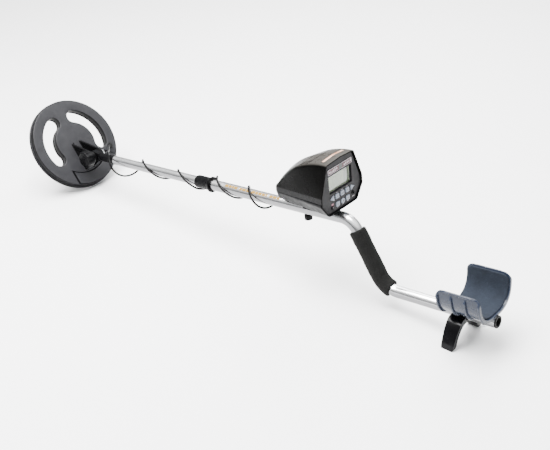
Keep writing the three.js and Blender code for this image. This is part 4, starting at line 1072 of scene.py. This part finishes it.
def box_section(x):
    """The corners of the box's outline at x, each with its rounding, from the crest round."""
    run = box_run(x)
    nose = min((x - BOX_FROM) / 12, 1)
    pinch = 0.55 + 0.45 * math.sqrt(1 - (1 - nose) ** 2)
    wide = lerp(NOSE_HALF, PANEL_HALF, run) * pinch
    base = lerp(NOSE_BASE, PANEL_BASE, run ** 0.85) * pinch
    shelf = wide - 1.5 - 4 * (1 - run)
    top_half = -3 * math.log(math.exp(-TOP_HALF / 3) + math.exp(-shelf / 3))
    crest = NOSE_CREST + CREST_CLIMB * (1 - (1 - run) ** 2) ** 0.8
    band_top = band_line(x)
    band_low = band_top - lerp(10, 17, run)
    back = (BOX_LEVEL - 172) * math.tan(BOX_LEAN) * run
    underside = STEM_BASE + math.tan(STEM_SLOPE) * (x + back) + UNDERSIDE_RISE
    shoulder = max(crest - lerp(9, 2.5, run), band_top + 1.5)
    soft = lerp(12, 4, run) * min(1, nose + 0.2)
    right = [(top_half, shoulder, soft), (wide, min(band_top, shoulder - 1), 2.5),
             (wide, band_low, 2.5), (base, underside, 4)]
    left = [(-y, z, r) for y, z, r in right[::-1]]
    return [(0, max(crest, shoulder + 1.5), 0)] + right + left


def roof(x):
    """The crest's height at x, then how far out and how high the shoulder is."""
    corners = box_section(x)
    return corners[0][1], corners[1][0], corners[1][1]


def ring_of(corners, steps=6, sides=5):
    """Rounds the corners and adds points along the straight sides."""
    rounded = []
    for i, (y, z, r) in enumerate(corners):
        c = Vector((y, z))
        if r == 0:
            rounded.append([c])
            continue
        b = Vector(corners[i - 1][:2]) - c
        a = Vector(corners[(i + 1) % len(corners)][:2]) - c
        rb, ra = min(r, b.length * 0.45), min(r, a.length * 0.45)
        start, stop = c + b.normalized() * rb, c + a.normalized() * ra
        rounded.append([(1 - t) ** 2 * start + 2 * t * (1 - t) * c + t * t * stop
                        for t in [k / steps for k in range(steps + 1)]])
    ring = []
    for group, after in zip(rounded, rounded[1:] + rounded[:1]):
        ring += group
        ring += [group[-1].lerp(after[0], k / sides) for k in range(1, sides)]
    return ring


def box_loft(places):
    vertices = []
    for x in places:
        vertices += [(leaned(x, p.y), p.x, p.y) for p in ring_of(box_section(x))]
    n = len(vertices) // len(places)
    return vertices, bands(len(places), n) + [tuple(range(n))]


def housing_half(name, look, slot, above, node):
    """The lofted box, cut at the parting plane and given a wall."""
    steps = [0, 0.3, 1, 2, 3.4, 5.2, 7.4, 9.8, 12] + [12 + 128 * i / 40 for i in range(1, 41)]
    vertices, faces = box_loft([BOX_FROM + s for s in steps])
    thing = piece(name, vertices, faces, look, "rod_body", slot, FIT, 28, replaced=(node,))
    work = bmesh.new()
    work.from_mesh(thing.data)
    slope = math.atan(PARTING_RISE)
    gap = PARTING_GAP if above else -PARTING_GAP
    bmesh.ops.bisect_plane(work, geom=work.verts[:] + work.edges[:] + work.faces[:],
                           plane_co=FIT @ Vector((PARTING_AT, 0, PARTING_LEVEL + gap)),
                           plane_no=Vector((-math.sin(slope), 0, math.cos(slope))),
                           clear_inner=above, clear_outer=not above)
    work.to_mesh(thing.data)
    work.free()
    solid = thing.modifiers.new("wall", 'SOLIDIFY')
    solid.thickness = WALL
    solid.offset = -1
    solid.use_even_offset = True
    apply_modifiers(thing)
    return thing


def paint_band(thing):
    """The flat band round the widest part, which is finished lighter than the shell above it."""
    thing.data.materials.append(LOOKS["band_grey"].material)
    back = FIT.inverted()
    for polygon in thing.data.polygons:
        p = back @ polygon.center
        if p.z < band_line(p.x) - 0.4:
            polygon.material_index = 1


def cut_speaker(thing):
    """Two rows of narrow slots over the speaker."""
    slots = []
    for i in range(8):
        for side in (-1, 1):
            outline = rounded_box(1.1, 12, 0.5, SLOTS_FROM + i * SLOT_PITCH, side * SLOTS_ASIDE, 3)
            slots.append(plate(outline, (), 238, 285, 0.01, 0.01, 1))
    cutter = new_object("cutter", *merged(*slots), FIT)
    cut = thing.modifiers.new("slots", 'BOOLEAN')
    cut.object = cutter
    cut.operation = 'DIFFERENCE'
    cut.solver = 'EXACT'
    apply_modifiers(thing)
    thing.data.set_sharp_from_angle(angle=28 * DEG)
    bpy.data.objects.remove(cutter)


def make_housing():
    upper = housing_half("box_upper", "housing_black", "gloss_black", True, "housing_upper")
    cut_speaker(upper)
    paint_band(upper)
    housing_half("box_lower", "grey_plastic", "grey_plastic", False, "housing_lower")


KEY_PITCH, KEY_FROM, ROW_1, ROW_2 = 14.6, -27.2, -13.5, -29
PANEL_FACE, KEY_FOOT, KEY_TOP = -2.5, -5.6, -0.9
SEGMENT_LOW, SEGMENT_HIGH = -9.34, -9.27
ICONS = {
    "menu": [(-2, 1.6, 4, 0.8), (-2, 0, 4, 0.8), (-2, -1.6, 4, 0.8)],
    "mode": [(-2.2, -1.8, 1, 2), (-0.6, -1.8, 1, 3), (1, -1.8, 1, 4)],
    "sense": [(-2, -0.4, 4, 0.9), (-0.45, -2, 0.9, 4)],
    "notch": [(-2.4, -1.6, 1.6, 0.8), (-0.4, -1.6, 0.8, 3.2), (0.8, -1.6, 1.6, 0.8)],
    "pinpoint": [(-0.4, -2.4, 0.8, 4.8), (-2.4, -0.4, 4.8, 0.8)],
    "volume": [(-2.2, -0.9, 1.4, 1.8), (-0.2, -1.7, 0.7, 3.4), (1.2, -2.2, 0.7, 4.4)],
    "power": [(-0.35, 0, 0.7, 1.8)],
}
ICON_INKS = {"power": "ink_light", "pinpoint": "ink_red"}


def arrow(direction):
    tip, back = 4.8 * direction, -4.6 * direction
    return [(back, -5), (tip * 0.98, -0.25), (tip * 0.98, 0.25), (back, 5)]


def printed(bars, radius, low, high):
    """Thin printed bars; each is the x and y of its lower left corner, its width and its height."""
    return merged(*[plate(rounded_box(w, h, radius, x + w / 2, y + h / 2, 2), (), low, high,
                          0.01, 0.02, 1) for x, y, w, h in bars])


def make_keys():
    square = rounded_box(8.9, 8.4, 0.6)
    keys = [("left", 0, ROW_1, arrow(-1)), ("menu", 1, ROW_1, square), ("mode", 2, ROW_1, square),
            ("sense", 3, ROW_1, square), ("right", 4, ROW_1, arrow(1)),
            ("power", 0, ROW_2 - 2, circle(3.6, 48)), ("notch", 1, ROW_2, square),
            ("pinpoint", 2, ROW_2, circle(4.8, 48)), ("volume", 3, ROW_2, square)]
    for name, column, row, outline in keys:
        place = PANEL @ Matrix.Translation((KEY_FROM + column * KEY_PITCH, row, 0))
        cap = plate(outline, (), KEY_FOOT, KEY_TOP, 0.1, 0.5, 4)
        look = "black_plastic" if name == "power" else "key_grey"
        piece("key_cap_" + name, *cap, look, "button_" + name, look, place, 30,
              replaced=("key_" + name,))
        if name in ICONS:
            marks = printed(ICONS[name], 0.15, KEY_TOP - 0.02, KEY_TOP + 0.06)
            piece("key_mark_" + name, *marks, ICON_INKS.get(name, "ink_dark"), "button_" + name, look,
                  place)


def make_panel_print():
    low, high = PANEL_FACE - 0.05, PANEL_FACE + 0.06
    columns = [KEY_FROM + column * KEY_PITCH for column in (1, 2, 3)]
    lines = [(x - 2.6, y, 5.2, 0.5) for x in columns for y in (ROW_1 + 6.3, ROW_2 - 6.7)]
    jack_label = (KEY_FROM + 4 * KEY_PITCH - 1.5, ROW_2 - 4.5, 6.5, 1.1)
    labels = merged(printed(lines, 0.3, low, high), printed([jack_label], 0.3, low, high))
    piece("panel_labels", *labels, "ink_light", "rod_body", "key_grey", PANEL)
    mark = plate(rounded_box(5.4, 3.4, 0.8, KEY_FROM + 0.4, ROW_2 + 4.4), (), low, PANEL_FACE + 0.1,
                 0.01, 0.04, 1)
    piece("power_mark", *mark, "ink_pink", "rod_body", "key_grey", PANEL)


def make_header():
    """A badge with two dark red fields of plain blocks and a dark slanted gap between them."""
    badge = plate(rounded_box(67, 10, 1.2, 0, 38.5), (), PANEL_FACE + 0.3, PANEL_FACE + 0.9, 0.02, 0.2)
    piece("header_badge", *badge, "ink_light", "rod_body", "grey_plastic", PANEL, 30,
          replaced=("header_plate",))
    low, high = PANEL_FACE + 0.85, PANEL_FACE + 0.94
    fields = printed([(-32.6, 34.1, 30, 8.4), (6, 34.1, 26, 8.4)], 0.5, low, high)
    piece("header_fields", *fields, "ink_red", "rod_body", "grey_plastic", PANEL)
    gap = plate([(-4.5, 33.9), (5.5, 33.9), (7.5, 43.1), (-2.5, 43.1)], (), low, high + 0.02, 0.01,
                0.02, 1)
    piece("header_gap", *gap, "ink_dark", "rod_body", "grey_plastic", PANEL)
    blocks, x = [], -31.0
    while x < 30:
        width = random.uniform(1.8, 3.4)
        if not -7 < x + width / 2 < 8.5:
            height = random.uniform(3.2, 5.2)
            middle = 38.2 + random.uniform(-0.8, 0.8)
            blocks.append((x, middle - height / 2, width, height))
        x += width + random.uniform(1.4, 2.4)
    piece("header_marks", *printed(blocks, 0.3, high, high + 0.08), "ink_light", "rod_body",
          "grey_plastic", PANEL)


def make_display():
    """Faint unlit segments under the window: plain bars and blocks with no reading."""
    bars = [(-28 + i * 4.2, 26, 2.6, 1.4) for i in range(12)]
    bars += [(-27 + i * 5, 0.5, 1.2, 3 + (i % 3) * 1.6) for i in range(8)]
    for x in (-14, -2):
        bars += [(x, y, 8, 1.1) for y in (20, 13.2, 6.4)]
        bars += [(x + side, y, 1.1, 6) for y in (14, 7.2) for side in (-1.3, 8.2)]
    bars.append((17, -1, 12, 28))
    shapes = [plate([(x, y), (x + w, y), (x + w, y + h), (x, y + h)], (), SEGMENT_LOW, SEGMENT_HIGH,
                    0, 0, 1) for x, y, w, h in bars]
    piece("display_segments", *merged(*shapes), "segment", "rod_body", "display_green", PANEL)


def make_strip():
    """The glossy orange bar across the top of the box, just ahead of the display."""
    vertices = []
    rows, columns = 3, 24
    for i in range(rows + 1):
        x = lerp(750, 755, i / rows)
        crest, half, shoulder = roof(x)
        for k in range(columns + 1):
            y = lerp(-29, 28, k / columns)
            z = lerp(crest, shoulder, abs(y) / half) + 0.12
            vertices.append((leaned(x, z), y, z))
    piece("box_strip", vertices, grid(rows, columns), "strip", "rod_body", "gloss_black")


def make_edge_shadow():
    """A dark tube painted as the shadow line of the moulded edge that crosses the top of the box."""
    path = []
    for i in range(41):
        share = i / 20 - 1
        x = 721 + 7 * math.cos(share * math.pi / 2)
        crest, half, shoulder = roof(x)
        z = lerp(crest, shoulder, abs(share)) - 0.15
        path.append(Vector((leaned(x, z), share * (half - 2.5), z)))
    piece("box_edge_shadow", *tube(path, 0.55, 10), "coil_side", "rod_body", "gloss_black")


def make_jack():
    ring = lathe(eased([(-7.9, 0), (-7.9, 4), (-1.6, 4), (-1.2, 3.4), (-1.2, 2), (-4.8, 1.9),
                        (-4.8, 0)], 0.4), 'z', 40)
    place = PANEL @ Matrix.Translation((KEY_FROM + 4 * KEY_PITCH + 1.5, ROW_2 + 3, 0))
    piece("jack_ring", *ring, "black_plastic", "rod_body", "black_plastic", place, 35,
          replaced=("headphone_jack",))


def make_thumbscrew():
    lobes = lobed(7.6, 0.8, 120, lambda angle: max(0, math.cos(12 * angle)))
    head = plate(lobes, (), -22.5, -12, 1.4, 0.8, 4)
    stud = lathe([(-12.5, 0), (-12.5, 3), (26, 3), (26, 0)], 'z', 32)
    place = STEM @ Matrix.Translation((THUMBSCREW_AT, 0, 0))
    piece("box_thumbscrew", *merged(head, stud), "black_plastic", "box_screw", "black_plastic",
          place, 35, replaced=("clamp_screw",))


def make_nose_gland():
    gland = lathe(eased([(-5, 0), (-5, 2.8), (-2, 4.2), (-2, 5.2), (0.2, 5.2), (0.2, 0)], 0.5), 'x', 40)
    place = FIT @ Matrix.Translation((BOX_FROM, 0, NOSE_HEIGHT))
    piece("nose_gland", *gland, "rubber", "rod_body", "black_rubber", place, 40,
          replaced=("nose_cable_gland",))


def make_battery_lids():
    for name, side in (("left", -BATTERY_ASIDE), ("right", BATTERY_ASIDE)):
        lid = plate(rounded_box(58, 26, 2, BATTERY_AT, side), (), 17.4, 19.1, 0.4, 0.2)
        ridges = [plate(rounded_box(1.4, 14, 0.5, BATTERY_AT + 19.7 + 3 * i, side), (), 16.6, 17.6,
                        0.3, 0.01) for i in range(3)]
        piece("battery_lid_" + name, *merged(lid, *ridges), "grey_plastic", "door_" + name,
              "grey_plastic", STEM, 30, replaced=("battery_door_" + name,))


# ---- looks of the kept CAD nodes

KEPT = {
    "transmit_winding": "copper", "receive_winding": "copper", "lower_tube_plug": "black_plastic",
    "lock_collet": "black_plastic", "battery_left": "cell", "battery_right": "cell",
    "battery_snap_left": "black_plastic", "battery_snap_right": "black_plastic",
    "main_board": "board", "display_board": "board", "key_board": "board", "rod_saddle": "black_plastic",
    "clamp_insert": "brass", "front_panel": "panel_grey", "display_window": "window",
    "display_module": "lcd", "speaker": "black_plastic",
}


def dress_kept_nodes():
    for name, look in KEPT.items():
        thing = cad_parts[name]
        for slot in thing.material_slots:
            slot.material = LOOKS[look].material
        if not thing.material_slots:
            thing.data.materials.append(LOOKS[look].material)


# ---- floor and light

FLOOR_HALF = 16
HORIZON, ZENITH = (0.2, 0.203, 0.206, 1), (1, 1, 1, 1)


def make_floor():
    look = Look("floor", (0.9, 0.9, 0.9), 0.6)
    look.tint(look.noise(0.8, 2), (0.88, 0.88, 0.885))
    mesh = bpy.data.meshes.new("floor")
    corners = [(-FLOOR_HALF, -FLOOR_HALF, 0), (FLOOR_HALF, -FLOOR_HALF, 0),
               (FLOOR_HALF, FLOOR_HALF, 0), (-FLOOR_HALF, FLOOR_HALF, 0)]
    mesh.from_pydata(corners, [], [(0, 1, 2, 3)])
    mesh.materials.append(look.material)
    floor = bpy.data.objects.new("floor", mesh)
    bpy.context.collection.objects.link(floor)


def make_sky():
    """A white dome overhead that darkens toward the horizon."""
    world = bpy.data.worlds.new("studio")
    bpy.context.scene.world = world
    world.use_nodes = True
    tree = world.node_tree
    backdrop = tree.nodes["Background"]
    split = tree.nodes.new("ShaderNodeSeparateXYZ")
    climb = tree.nodes.new("ShaderNodeMapRange")
    mix = tree.nodes.new("ShaderNodeMix")
    mix.data_type = 'RGBA'
    mix.inputs["A"].default_value = HORIZON
    mix.inputs["B"].default_value = ZENITH
    climb.inputs["From Min"].default_value = 0.35
    climb.inputs["From Max"].default_value = 0.9
    tree.links.new(tree.nodes.new("ShaderNodeTexCoord").outputs["Generated"], split.inputs[0])
    tree.links.new(split.outputs["Z"], climb.inputs["Value"])
    tree.links.new(climb.outputs["Result"], mix.inputs["Factor"])
    tree.links.new(mix.outputs["Result"], backdrop.inputs["Color"])
    backdrop.inputs["Strength"].default_value = 2.6


def make_lamps():
    target = Vector((0, 0, 0.1))
    for name, place, size, power in (("key", (-0.3, -0.3, 2.1), 1.8, 300),
                                     ("rim", (-0.5, 1.6, 1.5), 1.3, 50)):
        data = bpy.data.lights.new(name, 'AREA')
        data.shape = 'SQUARE'
        data.size = size
        data.energy = power
        lamp = bpy.data.objects.new(name, data)
        bpy.context.collection.objects.link(lamp)
        lamp.location = place
        lamp.rotation_euler = (target - Vector(place)).to_track_quat('-Z', 'Y').to_euler()


make_coil()
make_gland()
make_tilt_clamp()
make_stem()
make_lock()
make_rod()
make_legend()
make_grip()
make_cuff()
make_cuff_lining()
make_cuff_bolts()
make_stand()
make_housing()
make_keys()
make_panel_print()
make_header()
make_display()
make_strip()
make_edge_shadow()
make_jack()
make_thumbscrew()
make_nose_gland()
make_battery_lids()
dress_kept_nodes()
make_floor()
make_sky()
make_lamps()
